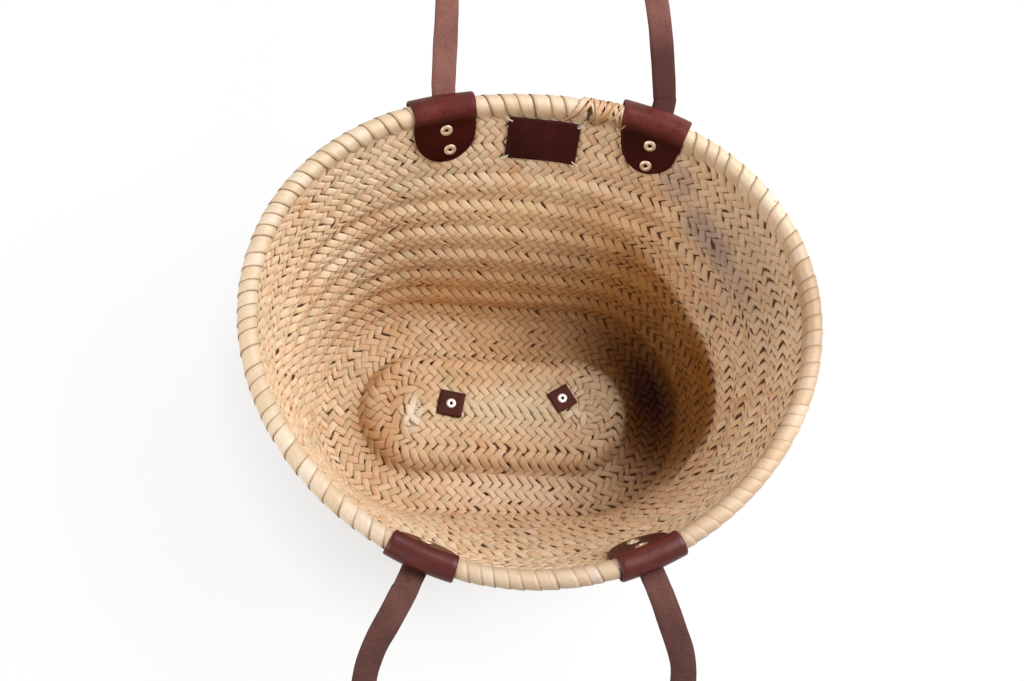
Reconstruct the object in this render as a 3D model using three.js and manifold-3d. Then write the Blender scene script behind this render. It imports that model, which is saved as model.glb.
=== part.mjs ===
import * as THREE from 'three';
import { mergeVertices } from 'three/addons/utils/BufferGeometryUtils.js';
import Module from 'manifold-3d';

const wasm = await Module();
wasm.setup();

// Lengths are in millimetres and angles in degrees. Z is up, the floor is at z = 0, the back is +Y.

// Plait
const plaitThickness = 5;
const courseWidth = 31;
const clearance = 0.35;

// Base: an oval with straight sides, its middle raised, a flat ring round it
const baseHalfStraight = 74;
const plateauCourses = 2;
const ringCourses = 1;
const plateauRise = 12;
const plateauSlope = 18;
const seamGroove = 1;
const cornerReach = 16;
const cornerHeight = 22;

// Wall: courses of plait, each stepping outward above the one below
const wallCourses = 9;
const plainCourses = 3;
const courseStep = 3;
const rimHeight = 256;
const flarePower = 1.12;
const flareSwing = 0.18;

// Rim line: radius with an oval and an egg-shaped part, its middle off the middle of the base
const rimRadius = 220.7;
const rimOval = 15.2;
const rimOvalTurn = 4.7;
const rimEgg = 5;
const rimShiftX = 5;
const rimShiftY = 13;

// Rim roll: a fibre core in a wrapped tube with a slot for the edge of the wall
const rollRadius = 7.5;
const rollInner = 5.1;
const coreRadius = 4.2;
const wallIntoRoll = 4.6;

// Leather tabs folded over the rim
const tabThickness = 2.2;
const tabHalfWidth = 28;
const tabStraight = 20;
const tabRoll = 9.1;
const tabOffset = 4.2;
const tabEase = 13;

// Where each tab sits round the rim, how far down its flaps reach, how the flaps and the rivet line lean,
// how far its fold stands off the roll, and how far from its middle the strap leaves it
const tabSpots = {
  front_left: { angle: 244.1, reach: 53, lean: 0, rivetLean: 0, proud: 1.5, exit: 0 },
  front_right: { angle: 298.4, reach: 53, lean: 0, rivetLean: 0, proud: 1.5, exit: -5 },
  back_left: { angle: 110.8, reach: 53, lean: 0, rivetLean: -0.12, proud: 5, exit: -5.5 },
  back_right: { angle: 61.3, reach: 49, lean: -0.1, rivetLean: -0.16, proud: 11, exit: -5 },
};

// Straps
const strapWidth = 21;
const strapThickness = 2.6;
const strapEndDrop = 47;
const strapTwistDrop = 14;
const hingeLift = 1;
const hingeGap = 1.4;
const loops = {
  front: { reach: 229, splayLeft: 25, splayRight: 23, startSlope: 9, endSlope: -50, settle: 30 },
  back: { reach: 250, splayLeft: 0, splayRight: -6, startSlope: 36, endSlope: -38, settle: 140 },
};
const loopLead = 16;
const twistStart = 20;

// Rivets and washers
const rivetDrops = { upper: 19, lower: 40 };
const tabRivet = { head: 5.5, post: 3, bore: 1.9, rolled: 4.2, headHeight: 1.2, rolledHeight: 0.8 };
const baseRivet = { head: 5, post: 2.5, bore: 1.6, rolled: 3.6, headHeight: 1.2, rolledHeight: 0.8 };
const washerThickness = 1.2;
const rivetSides = 10;

// Label on the inside of the back wall
const labelWidth = 65;
const labelHeight = 43;
const labelThickness = 1.8;
const labelTurn = 86;
const labelDrop = 13.7;
const labelTilt = 0.06;
const stitchInset = 4;
const stitchLength = 5;
const threadWidth = 1.2;

// Leather squares on the raised middle, and the pads under it
const squareThickness = 2;
const baseSquares = {
  left: { side: 25, x: -46, y: 5, turn: -10 },
  right: { side: 22.5, x: 65, y: 14, turn: 32 },
};

// Fineness of the curved stretches
const sideCells = 12;
const endCells = 20;
const tabCells = 4;
const loopCells = 36;

const radians = Math.PI / 180;
const plateauEdge = plateauCourses * courseWidth;
const ringReach = plateauEdge + ringCourses * courseWidth;
const footReach = ringReach + cornerReach;
const halfPlait = plaitThickness / 2;
const cornerShare = 1 / wallCourses;

function smooth(x) {
  const s = Math.min(Math.max(x, 0), 1);
  return s * s * (3 - 2 * s);
}

// Share of one turn that a straight side takes, by the angle it spans from the middle
const sideShare = Math.atan(baseHalfStraight / footReach) / Math.PI;
const endShare = 0.5 - sideShare;

function ovalPoint(turn, offset) {
  const u = turn - Math.floor(turn + endShare / 2);
  const atRight = u < endShare / 2;
  const atBack = u < endShare / 2 + sideShare;
  const atLeft = u < 1.5 * endShare + sideShare;
  if (atRight) {
    const angle = (u / endShare) * Math.PI;
    return new THREE.Vector2(baseHalfStraight + offset * Math.cos(angle), offset * Math.sin(angle));
  }
  if (atBack) {
    const way = (u - endShare / 2) / sideShare;
    return new THREE.Vector2(baseHalfStraight * (1 - 2 * way), offset);
  }
  if (atLeft) {
    const angle = ((u - endShare / 2 - sideShare) / endShare) * Math.PI + Math.PI / 2;
    return new THREE.Vector2(-baseHalfStraight + offset * Math.cos(angle), offset * Math.sin(angle));
  }
  const way = (u - 1.5 * endShare - sideShare) / sideShare;
  return new THREE.Vector2(-baseHalfStraight * (1 - 2 * way), -offset);
}

function rimPoint(turn) {
  const foot = ovalPoint(turn, footReach);
  const angle = Math.atan2(foot.y, foot.x);
  const oval = rimOval * Math.cos(2 * (angle - rimOvalTurn * radians));
  const radius = rimRadius + oval + rimEgg * Math.sin(3 * angle);
  return new THREE.Vector2(rimShiftX + radius * Math.cos(angle), rimShiftY + radius * Math.sin(angle));
}

// Middle surface of the wall: level 0 where it leaves the base ring, level 1 at the middle of the rim roll
function wallPoint(turn, level) {
  if (level < cornerShare) {
    const bend = (level / cornerShare) * (Math.PI / 2);
    const plan = ovalPoint(turn, ringReach + cornerReach * Math.sin(bend));
    return new THREE.Vector3(plan.x, plan.y, halfPlait + cornerHeight * (1 - Math.cos(bend)));
  }
  const climb = (level - cornerShare) / (1 - cornerShare);
  const foot = ovalPoint(turn, footReach);
  const power = flarePower + (flareSwing * foot.y) / foot.length();
  const plan = foot.lerp(rimPoint(turn), climb ** power);
  const footHeight = halfPlait + cornerHeight;
  return new THREE.Vector3(plan.x, plan.y, footHeight + (rimHeight - footHeight) * climb);
}

function wallFrame(turn, level) {
  const step = 1e-4;
  const along = wallPoint(turn + step, level).sub(wallPoint(turn - step, level));
  const rise = wallPoint(turn, level + step).sub(wallPoint(turn, level - step));
  const spread = along.length() / (2 * step);
  const out = along.clone().cross(rise).normalize();
  along.normalize();
  const up = out.clone().cross(along);
  const slant = rise.dot(along) / rise.dot(up);
  return { point: wallPoint(turn, level), along, out, up, spread, slant, climb: rise.dot(up) / (2 * step) };
}

// Level at a distance down the wall from the middle of the rim roll
function levelBelowRim(turn, drop) {
  const steps = 8;
  let level = 1;
  for (let i = 0; i < steps; i += 1) {
    const half = level - drop / steps / 2 / wallFrame(turn, level).climb;
    level -= drop / steps / wallFrame(turn, half).climb;
  }
  return level;
}

// Turn at which the rim stands at an angle from the middle of the base
function turnAtAngle(degrees) {
  let low = degrees / 360 - 0.15;
  let high = degrees / 360 + 0.15;
  for (let i = 0; i < 40; i += 1) {
    const middle = (low + high) / 2;
    const rim = rimPoint(middle);
    const gap = Math.atan2(rim.y, rim.x) - degrees * radians;
    const wrapped = Math.atan2(Math.sin(gap), Math.cos(gap));
    if (wrapped > 0) {
      high = middle;
    } else {
      low = middle;
    }
  }
  return (low + high) / 2;
}

// Point a drop below the rim roll, square to the rim, at a distance across and an offset out of the wall
function placeOnWall(turn, across, drop, offset, tilt = 0) {
  const level = levelBelowRim(turn, Math.max(drop, 0));
  const square = wallFrame(turn, 1).slant * Math.max(drop, 0);
  const shifted = turn + (across + square) / wallFrame(turn, level).spread;
  const frame = wallFrame(shifted, levelBelowRim(shifted, Math.max(drop, 0)));
  const normal = frame.out.clone().multiplyScalar(Math.cos(tilt)).addScaledVector(frame.up, Math.sin(tilt));
  const point = frame.point.clone().addScaledVector(frame.out, offset);
  point.addScaledVector(frame.up, Math.max(-drop, 0));
  return { point, normal, frame };
}

function solid(vertices, faces) {
  const flat = faces.flatMap((face) => face.flatMap((index) => vertices[index].toArray()));
  const loose = new THREE.BufferGeometry();
  loose.setAttribute('position', new THREE.Float32BufferAttribute(flat, 3));
  const merged = mergeVertices(loose, 1e-4);
  const index = merged.getIndex().array;
  const kept = [];
  for (let i = 0; i < index.length; i += 3) {
    const [a, b, c] = [index[i], index[i + 1], index[i + 2]];
    if (a !== b && b !== c && a !== c) {
      kept.push(a, b, c);
    }
  }
  merged.setIndex(kept);
  return volume(merged) < 0 ? reversed(merged) : merged;
}

function volume(geometry) {
  const position = geometry.getAttribute('position');
  const index = geometry.getIndex().array;
  const [a, b, c] = [new THREE.Vector3(), new THREE.Vector3(), new THREE.Vector3()];
  let total = 0;
  for (let i = 0; i < index.length; i += 3) {
    a.fromBufferAttribute(position, index[i]);
    b.fromBufferAttribute(position, index[i + 1]);
    c.fromBufferAttribute(position, index[i + 2]);
    total += a.dot(b.cross(c)) / 6;
  }
  return total;
}

function reversed(geometry) {
  const index = Array.from(geometry.getIndex().array);
  for (let i = 0; i < index.length; i += 3) {
    [index[i], index[i + 1]] = [index[i + 1], index[i]];
  }
  geometry.setIndex(index);
  return geometry;
}

// Joins a row of equal profiles into one skin
function skin(profiles, { roundTrip, closedProfile, caps }) {
  const size = profiles[0].length;
  const faces = [];
  const vertices = profiles.flat();
  const lastProfile = roundTrip ? profiles.length : profiles.length - 1;
  const lastPoint = closedProfile ? size : size - 1;
  for (let i = 0; i < lastProfile; i += 1) {
    const here = i * size;
    const next = ((i + 1) % profiles.length) * size;
    for (let j = 0; j < lastPoint; j += 1) {
      const k = (j + 1) % size;
      faces.push([here + j, next + j, next + k], [here + j, next + k, here + k]);
    }
  }
  if (caps) {
    const end = (profiles.length - 1) * size;
    for (let j = 1; j < size - 1; j += 1) {
      faces.push([0, j, j + 1], [end, end + j + 1, end + j]);
    }
  }
  return solid(vertices, faces);
}

// Sheet between two grids of points
function sheet(front, back) {
  const rings = front.map((row, i) => [...row, ...back[i].slice().reverse()]);
  return cappedSheet(rings, front[0].length);
}

function cappedSheet(rings, columns) {
  const size = 2 * columns;
  const vertices = rings.flat();
  const faces = [];
  for (let i = 0; i < rings.length - 1; i += 1) {
    for (let j = 0; j < size; j += 1) {
      const k = (j + 1) % size;
      const here = i * size;
      const next = here + size;
      faces.push([here + j, next + j, next + k], [here + j, next + k, here + k]);
    }
  }
  const end = (rings.length - 1) * size;
  for (let j = 0; j < columns - 1; j += 1) {
    const k = size - 1 - j;
    faces.push([j, j + 1, k], [j + 1, k - 1, k]);
    faces.push([end + j, end + k, end + j + 1], [end + j + 1, end + k, end + k - 1]);
  }
  return solid(vertices, faces);
}

function manifoldOf(geometry) {
  const vertProperties = new Float32Array(geometry.getAttribute('position').array);
  const triVerts = new Uint32Array(geometry.getIndex().array);
  return new wasm.Manifold(new wasm.Mesh({ numProp: 3, vertProperties, triVerts }));
}

function cut(geometry, tools) {
  let body = manifoldOf(geometry);
  for (const tool of tools) {
    body = body.subtract(manifoldOf(tool));
  }
  const mesh = body.getMesh();
  const result = new THREE.BufferGeometry();
  result.setAttribute('position', new THREE.Float32BufferAttribute(Array.from(mesh.vertProperties), 3));
  result.setIndex(Array.from(mesh.triVerts));
  return result;
}

// Turned piece: profile of radius and height, its axis along a direction from a point
function turned(profile, origin, axis) {
  const points = profile.map(([radius, height]) => new THREE.Vector2(radius, height));
  const lathe = new THREE.LatheGeometry([...points, points[0].clone()], rivetSides);
  const bare = new THREE.BufferGeometry();
  bare.setAttribute('position', lathe.getAttribute('position'));
  bare.setIndex(lathe.getIndex());
  const upright = new THREE.Vector3(0, 1, 0);
  bare.applyQuaternion(new THREE.Quaternion().setFromUnitVectors(upright, axis));
  bare.translate(origin.x, origin.y, origin.z);
  const position = bare.getAttribute('position');
  const vertices = [];
  for (let i = 0; i < position.count; i += 1) {
    vertices.push(new THREE.Vector3().fromBufferAttribute(position, i));
  }
  const index = bare.getIndex().array;
  const faces = [];
  for (let i = 0; i < index.length; i += 3) {
    faces.push([index[i], index[i + 1], index[i + 2]]);
  }
  return solid(vertices, faces);
}

function hole(radius, length, origin, axis) {
  const profile = [[0, -length], [radius + clearance, -length], [radius + clearance, length], [0, length]];
  return turned(profile, origin, axis);
}

function rivetProfile(rivet, headFace, rolledFace) {
  const headUnder = headFace + rivet.headHeight;
  const rolledUnder = rolledFace - rivet.rolledHeight;
  return [
    [rivet.bore, headFace],
    [rivet.head - rivet.headHeight / 2, headFace],
    [rivet.head, headFace + rivet.headHeight / 2],
    [rivet.head, headUnder],
    [rivet.post, headUnder],
    [rivet.post, rolledUnder],
    [rivet.rolled, rolledUnder],
    [rivet.rolled, rolledFace],
    [rivet.bore, rolledFace],
  ];
}

function washerProfile(rivet, low) {
  const inner = rivet.post + clearance;
  return [[inner, low], [rivet.head, low], [rivet.head, low + washerThickness], [inner, low + washerThickness]];
}

const palm = { color: 0xcdb58c, roughness: 0.72, metalness: 0 };
const palmWrap = { color: 0xdcc9a3, roughness: 0.7, metalness: 0 };
const fibre = { color: 0x9c8257, roughness: 0.9, metalness: 0 };
const leather = { color: 0x5f3a33, roughness: 0.48, metalness: 0 };
const brass = { color: 0xb9a06c, roughness: 0.34, metalness: 0.9 };
const thread = { color: 0xd8d0bd, roughness: 0.8, metalness: 0 };

const basket = new THREE.Group();
basket.name = 'beach_basket';

function add(name, geometry, look) {
  const faceted = geometry.toNonIndexed();
  faceted.computeVertexNormals();
  const mesh = new THREE.Mesh(faceted, new THREE.MeshStandardMaterial(look));
  mesh.name = name;
  basket.add(mesh);
}

const stations = [];
for (let i = 0; i < endCells; i += 1) {
  stations.push(-endShare / 2 + (endShare * i) / endCells);
}
for (let i = 0; i < sideCells; i += 1) {
  stations.push(endShare / 2 + (sideShare * i) / sideCells);
}
for (const turn of stations.slice()) {
  stations.push(turn + 0.5);
}

// Base plait
function plateauHeight(offset) {
  return plateauRise * (1 - smooth((offset - plateauEdge + plateauSlope) / plateauSlope));
}

function baseProfile() {
  const profile = [[0, plaitThickness + plateauRise]];
  for (let course = 1; course < plateauCourses; course += 1) {
    const seam = course * courseWidth;
    const top = plaitThickness + plateauHeight(seam);
    profile.push([seam - seamGroove, top], [seam, top - seamGroove], [seam + seamGroove, top]);
  }
  const slopes = [1, 0.75, 0.5, 0.25];
  for (const share of slopes) {
    const offset = plateauEdge - plateauSlope * share;
    profile.push([offset, plaitThickness + plateauHeight(offset)]);
  }
  profile.push([plateauEdge, plaitThickness - seamGroove]);
  profile.push([plateauEdge + 2 * seamGroove, plaitThickness]);
  profile.push([ringReach - clearance, plaitThickness]);
  profile.push([ringReach - clearance, 0]);
  profile.push([plateauEdge, 0]);
  for (const share of slopes.slice().reverse()) {
    const offset = plateauEdge - plateauSlope * share;
    profile.push([offset, plateauHeight(offset)]);
  }
  profile.push([0, plateauRise]);
  return profile;
}

const baseProfiles = stations.map((turn) => baseProfile().map(([offset, height]) => {
  const plan = ovalPoint(turn, offset);
  return new THREE.Vector3(plan.x, plan.y, height);
}));
const basePlait = skin(baseProfiles, { roundTrip: true, closedProfile: false, caps: false });
const plateauTop = plaitThickness + plateauRise;
const baseHoles = Object.values(baseSquares).map(({ x, y }) => {
  const origin = new THREE.Vector3(x, y, plateauTop);
  return hole(baseRivet.post, 3 * plaitThickness, origin, new THREE.Vector3(0, 0, 1));
});
add('base_plait', cut(basePlait, baseHoles), palm);

// Wall plait
function wallRows(turn) {
  const rows = [0, cornerShare / 3, (2 * cornerShare) / 3].map((level) => ({ level, shift: 0 }));
  for (let course = 1; course < wallCourses; course += 1) {
    const level = course / wallCourses;
    if (course <= wallCourses - plainCourses) {
      rows.push({ level, shift: -courseStep / 2 }, { level, shift: courseStep / 2 });
    } else {
      rows.push({ level, shift: 0 });
    }
  }
  rows.push({ level: levelBelowRim(turn, wallIntoRoll), shift: 0 });
  return rows;
}

const wallProfiles = stations.map((turn) => {
  const inner = [];
  const outer = [];
  for (const { level, shift } of wallRows(turn)) {
    const { point, out } = wallFrame(turn, level);
    inner.push(point.clone().addScaledVector(out, shift - halfPlait));
    outer.push(point.clone().addScaledVector(out, shift + halfPlait));
  }
  return [...inner, ...outer.reverse()];
});

const tabs = {};
const tabSeats = {};
for (const [name, spot] of Object.entries(tabSpots)) {
  const turn = turnAtAngle(spot.angle);
  tabs[name] = { ...spot, turn };
  tabSeats[name] = Object.values(rivetDrops).map((drop) => {
    const { point, normal } = placeOnWall(turn, spot.rivetLean * drop, drop, 0);
    return { origin: point, axis: normal };
  });
}
const rivetReach = 30;

function tabHoles(name) {
  return tabSeats[name].map(({ origin, axis }) => hole(tabRivet.post, rivetReach, origin, axis));
}

const wallPlait = skin(wallProfiles, { roundTrip: true, closedProfile: true, caps: false });
add('wall_plait', cut(wallPlait, Object.keys(tabs).flatMap(tabHoles)), palm);

// Rim core and rim wrap
function rollPoint(frame, radius, angle) {
  const point = frame.point.clone().addScaledVector(frame.out, radius * Math.sin(angle));
  return point.addScaledVector(frame.up, -radius * Math.cos(angle));
}

function rollProfile(frame, radius, cells, slotHalf) {
  const start = Math.asin(slotHalf / radius);
  const points = [];
  for (let i = 0; i <= cells; i += 1) {
    points.push(rollPoint(frame, radius, start + ((2 * Math.PI - 2 * start) * i) / cells));
  }
  return points;
}

const slotHalf = halfPlait + clearance;
const rimFrames = stations.map((turn) => wallFrame(turn, 1));
const coreProfiles = rimFrames.map((frame) => rollProfile(frame, coreRadius, 6, 0).slice(0, 6));
add('rim_core', skin(coreProfiles, { roundTrip: true, closedProfile: true, caps: false }), fibre);
const wrapProfiles = rimFrames.map((frame) => {
  const outer = rollProfile(frame, rollRadius, 10, slotHalf);
  const inner = rollProfile(frame, rollInner, 6, slotHalf).reverse();
  return [...outer, ...inner];
});
add('rim_wrap', skin(wrapProfiles, { roundTrip: true, closedProfile: true, caps: false }), palmWrap);

// Tabs: an outer flap, a bend round the roll and an inner flap
function flapOffset(drop, proud) {
  return tabOffset + (tabRoll + proud - tabOffset) * (1 - smooth(drop / tabEase));
}

function flapRows(reach, proud) {
  const rows = [84, 66, 44, 22, 0].map((angle) => ({
    drop: tabStraight + (reach - tabStraight) * Math.sin(angle * radians),
    half: tabHalfWidth * Math.cos(angle * radians),
  }));
  for (const share of [1, 0.75, 0.5, 0.25]) {
    rows.push({ drop: tabEase * share, half: tabHalfWidth });
  }
  return rows.map(({ drop, half }) => {
    const slope = flapOffset(drop + 0.1, proud) - flapOffset(drop - 0.1, proud);
    return { drop, half, offset: flapOffset(drop, proud), tilt: Math.atan(slope / 0.2) };
  });
}

function tabRows(reach, proud) {
  const bend = [0, 36, 72, 108, 144, 180].map((angle) => ({
    drop: -tabRoll * Math.sin(angle * radians),
    half: tabHalfWidth,
    offset: (tabRoll + (angle < 90 ? proud : 0)) * Math.cos(angle * radians),
    tilt: angle * radians,
  }));
  const inner = flapRows(reach, 0).map((row) => ({ ...row, offset: -row.offset, tilt: Math.PI - row.tilt }));
  return [...flapRows(reach, proud), ...bend, ...inner.reverse()];
}

function tabGeometry({ turn, reach, lean, proud }) {
  const front = [];
  const back = [];
  for (const { drop, half, offset, tilt } of tabRows(reach, proud)) {
    const frontRow = [];
    const backRow = [];
    for (let i = 0; i <= tabCells; i += 1) {
      const across = half * ((2 * i) / tabCells - 1) + lean * Math.max(drop, 0);
      const { point, normal } = placeOnWall(turn, across, drop, offset, tilt);
      frontRow.push(point.clone().addScaledVector(normal, tabThickness / 2));
      backRow.push(point.clone().addScaledVector(normal, -tabThickness / 2));
    }
    front.push(frontRow);
    back.push(backRow);
  }
  return sheet(front, back);
}

for (const [name, tab] of Object.entries(tabs)) {
  add(`tab_${name}`, cut(tabGeometry(tab), tabHoles(name)), leather);
}

// Hinge lines: each joins the two places where a strap leaves its tabs
const flapFace = tabThickness / 2;
const strapSeat = flapFace + clearance + strapThickness / 2;

function hingePoint({ turn, proud, exit }, direction) {
  const { frame } = placeOnWall(turn, exit, 0, 0);
  const cross = Math.sqrt(Math.max(1 - frame.along.dot(direction) ** 2, 0));
  const offset = tabRoll + proud + strapSeat + (strapWidth / 2) * cross;
  return frame.point.clone().addScaledVector(frame.out, offset).addScaledVector(frame.up, hingeLift);
}

function hingeLine(side) {
  const left = tabs[`${side}_left`];
  const right = tabs[`${side}_right`];
  const direction = new THREE.Vector3(1, 0, 0);
  for (let i = 0; i < 5; i += 1) {
    const reach = hingePoint(right, direction).sub(hingePoint(left, direction));
    direction.copy(reach).normalize();
  }
  return { left: hingePoint(left, direction), right: hingePoint(right, direction), direction };
}

const hinges = { front: hingeLine('front'), back: hingeLine('back') };

// Strap ends: flat on the outer flaps, turning into the hinge line at the top
function ribbonProfile(point, across, normal) {
  const side = across.clone().multiplyScalar(strapWidth / 2);
  const face = normal.clone().multiplyScalar(strapThickness / 2);
  return [
    point.clone().add(side).add(face),
    point.clone().sub(side).add(face),
    point.clone().sub(side).sub(face),
    point.clone().add(side).sub(face),
  ];
}

function strapEndGeometry({ turn, proud, exit, rivetLean }, direction) {
  const lowest = -hingeLift + strapThickness / 2 + hingeGap;
  const profiles = [];
  for (const share of [0, 0.35, 0.7, 0.77, 0.84, 0.9, 0.95, 1]) {
    const drop = strapEndDrop + (lowest - strapEndDrop) * share;
    const sideways = rivetLean * drop + exit * (1 - smooth(drop / rivetDrops.upper));
    const { frame } = placeOnWall(turn, sideways, drop, 0);
    const turned = 1 - smooth((drop - lowest) / (strapTwistDrop - lowest));
    const hingeward = direction.clone().multiplyScalar(Math.sign(frame.along.dot(direction)));
    const across = frame.along.clone().lerp(hingeward, turned).normalize();
    const cross = Math.sqrt(Math.max(1 - frame.along.dot(across) ** 2, 0));
    const offset = flapOffset(drop, proud) + strapSeat + (strapWidth / 2) * cross;
    const point = frame.point.clone().addScaledVector(frame.out, offset);
    profiles.push(ribbonProfile(point, across, across.clone().cross(frame.up).normalize()));
  }
  return skin(profiles, { roundTrip: false, closedProfile: true, caps: true });
}

for (const [name, tab] of Object.entries(tabs)) {
  const { direction } = hinges[name.split('_')[0]];
  const end = strapEndGeometry(tab, direction);
  add(`strap_end_${name}`, cut(end, tabHoles(name)), leather);
}

// Strap loops: a straight stretch from each hinge, then an arc to the far end, on a hanging curve
function loopHalf(spacing, reach, splay) {
  const [sine, cosine] = [Math.sin(splay * radians), Math.cos(splay * radians)];
  const perStraight = cosine + (sine / cosine) * (1 + sine);
  const straight = (reach - (spacing * (1 + sine)) / cosine) / perStraight;
  const radius = (spacing + straight * sine) / cosine;
  const arc = radius * (Math.PI / 2 + splay * radians);
  const place = (way) => {
    if (way < straight) {
      return { x: spacing + way * sine, reach: way * cosine, heading: splay * radians };
    }
    const heading = splay * radians - (way - straight) / radius;
    return {
      x: radius * Math.cos(heading),
      reach: straight * cosine + radius * (sine - Math.sin(heading)),
      heading,
    };
  };
  return { length: straight + arc, place };
}

function hangingCurve(loop) {
  const steps = 400;
  const curve = [{ out: 0, up: 0, slope: loop.startSlope * radians }];
  for (let i = 1; i <= steps; i += 1) {
    const reach = (loop.reach * i) / steps;
    const fall = Math.exp(-reach / loop.settle);
    const slope = (loop.endSlope + (loop.startSlope - loop.endSlope) * fall) * radians;
    const last = curve[i - 1];
    const step = loop.reach / steps;
    curve.push({ out: last.out + Math.cos(slope) * step, up: last.up + Math.sin(slope) * step, slope });
  }
  return (reach) => {
    const spot = Math.min(Math.max((reach / loop.reach) * steps, 0), steps);
    const low = Math.min(Math.floor(spot), steps - 1);
    const [a, b, part] = [curve[low], curve[low + 1], spot - low];
    return { out: a.out + (b.out - a.out) * part, up: a.up + (b.up - a.up) * part, slope: b.slope };
  };
}

function loopProfiles(loop, hinge, outward) {
  const middle = hinge.left.clone().add(hinge.right).multiplyScalar(0.5);
  const spacing = hinge.right.distanceTo(hinge.left) / 2;
  const side = hinge.direction;
  const upward = new THREE.Vector3(0, 0, 1).addScaledVector(side, -side.z).normalize();
  const away = upward.clone().cross(side).multiplyScalar(-outward);
  const curve = hangingCurve(loop);
  const halves = [
    { sign: -1, half: loopHalf(spacing, loop.reach, loop.splayLeft) },
    { sign: 1, half: loopHalf(spacing, loop.reach, loop.splayRight) },
  ];
  const sides = halves.map(({ sign, half }) => {
    const profiles = [];
    const spots = [0, loopLead / 2, loopLead];
    for (let i = 1; i <= loopCells / 2; i += 1) {
      spots.push(loopLead + ((half.length - loopLead) * i) / (loopCells / 2));
    }
    for (const way of spots) {
      const place = half.place(way);
      const hang = curve(place.reach);
      const point = middle.clone().addScaledVector(side, sign * place.x);
      point.addScaledVector(away, hang.out).addScaledVector(upward, hang.up);
      const down = away.clone().multiplyScalar(Math.cos(hang.slope));
      down.addScaledVector(upward, Math.sin(hang.slope));
      const normal = upward.clone().multiplyScalar(Math.cos(hang.slope));
      normal.addScaledVector(away, -Math.sin(hang.slope));
      const ahead = side.clone().multiplyScalar(sign * Math.sin(place.heading));
      ahead.addScaledVector(down, Math.cos(place.heading));
      const inward = side.clone().multiplyScalar(-sign * Math.cos(place.heading));
      inward.addScaledVector(down, Math.sin(place.heading));
      const twist = (Math.PI / 2) * smooth((way - twistStart) / (half.length - twistStart));
      const face = normal.clone().multiplyScalar(Math.cos(twist)).addScaledVector(inward, Math.sin(twist));
      const across = ahead.clone().cross(face).multiplyScalar(-sign * outward);
      across.lerp(side.clone().multiplyScalar(sign), 1 - smooth(way / loopLead)).normalize();
      profiles.push({ point, across, face, ahead: down, way });
    }
    return profiles;
  });
  return { left: sides[0], right: sides[1] };
}

function strapLoopGeometry(loop, hinge, outward) {
  const { left, right } = loopProfiles(loop, hinge, outward);
  const knuckle = (start) => [90, 60, 30].map((angle) => {
    const point = start.point.clone().addScaledVector(start.ahead, (-strapThickness / 2) * Math.sin(angle * radians));
    const face = start.face.clone().multiplyScalar(Math.max(Math.cos(angle * radians), 0.15));
    return ribbonProfile(point, start.across, face);
  });
  const leftProfiles = left.map(({ point, across, face }) => ribbonProfile(point, across, face));
  const rightProfiles = right.slice(0, -1).map(({ point, across, face }) => ribbonProfile(point, across, face));
  const row = [...knuckle(left[0]), ...leftProfiles, ...rightProfiles.reverse(), ...knuckle(right[0]).reverse()];
  return skin(row, { roundTrip: false, closedProfile: true, caps: true });
}

add('front_strap', strapLoopGeometry(loops.front, hinges.front, 1), leather);
add('back_strap', strapLoopGeometry(loops.back, hinges.back, -1), leather);

// Tab rivets and washers
const flapInner = tabOffset + tabThickness / 2 + clearance;
const strapOuter = tabOffset + strapSeat + strapThickness / 2 + 2 * clearance;
const tabRolledFace = strapOuter + washerThickness + clearance + tabRivet.rolledHeight;
for (const [name, seats] of Object.entries(tabSeats)) {
  Object.keys(rivetDrops).forEach((height, i) => {
    const { origin, axis } = seats[i];
    const post = rivetProfile(tabRivet, -flapInner - tabRivet.headHeight, tabRolledFace);
    add(`rivet_${name}_${height}`, turned(post, origin, axis), brass);
    add(`washer_${name}_${height}`, turned(washerProfile(tabRivet, strapOuter), origin, axis), brass);
  });
}

// Label and its corner stitches
const labelSpot = turnAtAngle(labelTurn);
const labelOffset = halfPlait + clearance + labelThickness;

function labelLevel(across, down) {
  return labelDrop + labelTilt * -across + down;
}

function labelGrid(offset) {
  const grid = [];
  for (let i = 0; i <= 3; i += 1) {
    const row = [];
    for (let j = 0; j <= 5; j += 1) {
      const across = labelWidth * (j / 5 - 0.5);
      row.push(placeOnWall(labelSpot, across, labelLevel(across, (labelHeight * i) / 3), -offset).point);
    }
    grid.push(row);
  }
  return grid;
}

function box(centre, x, y, z, sizes) {
  const [halfX, halfY, halfZ] = sizes.map((size) => size / 2);
  const corner = (i, j, k) => centre.clone()
    .addScaledVector(x, i * halfX).addScaledVector(y, j * halfY).addScaledVector(z, k * halfZ);
  const front = [[corner(-1, -1, 1), corner(1, -1, 1)], [corner(-1, 1, 1), corner(1, 1, 1)]];
  const back = [[corner(-1, -1, -1), corner(1, -1, -1)], [corner(-1, 1, -1), corner(1, 1, -1)]];
  return sheet(front, back);
}

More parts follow.
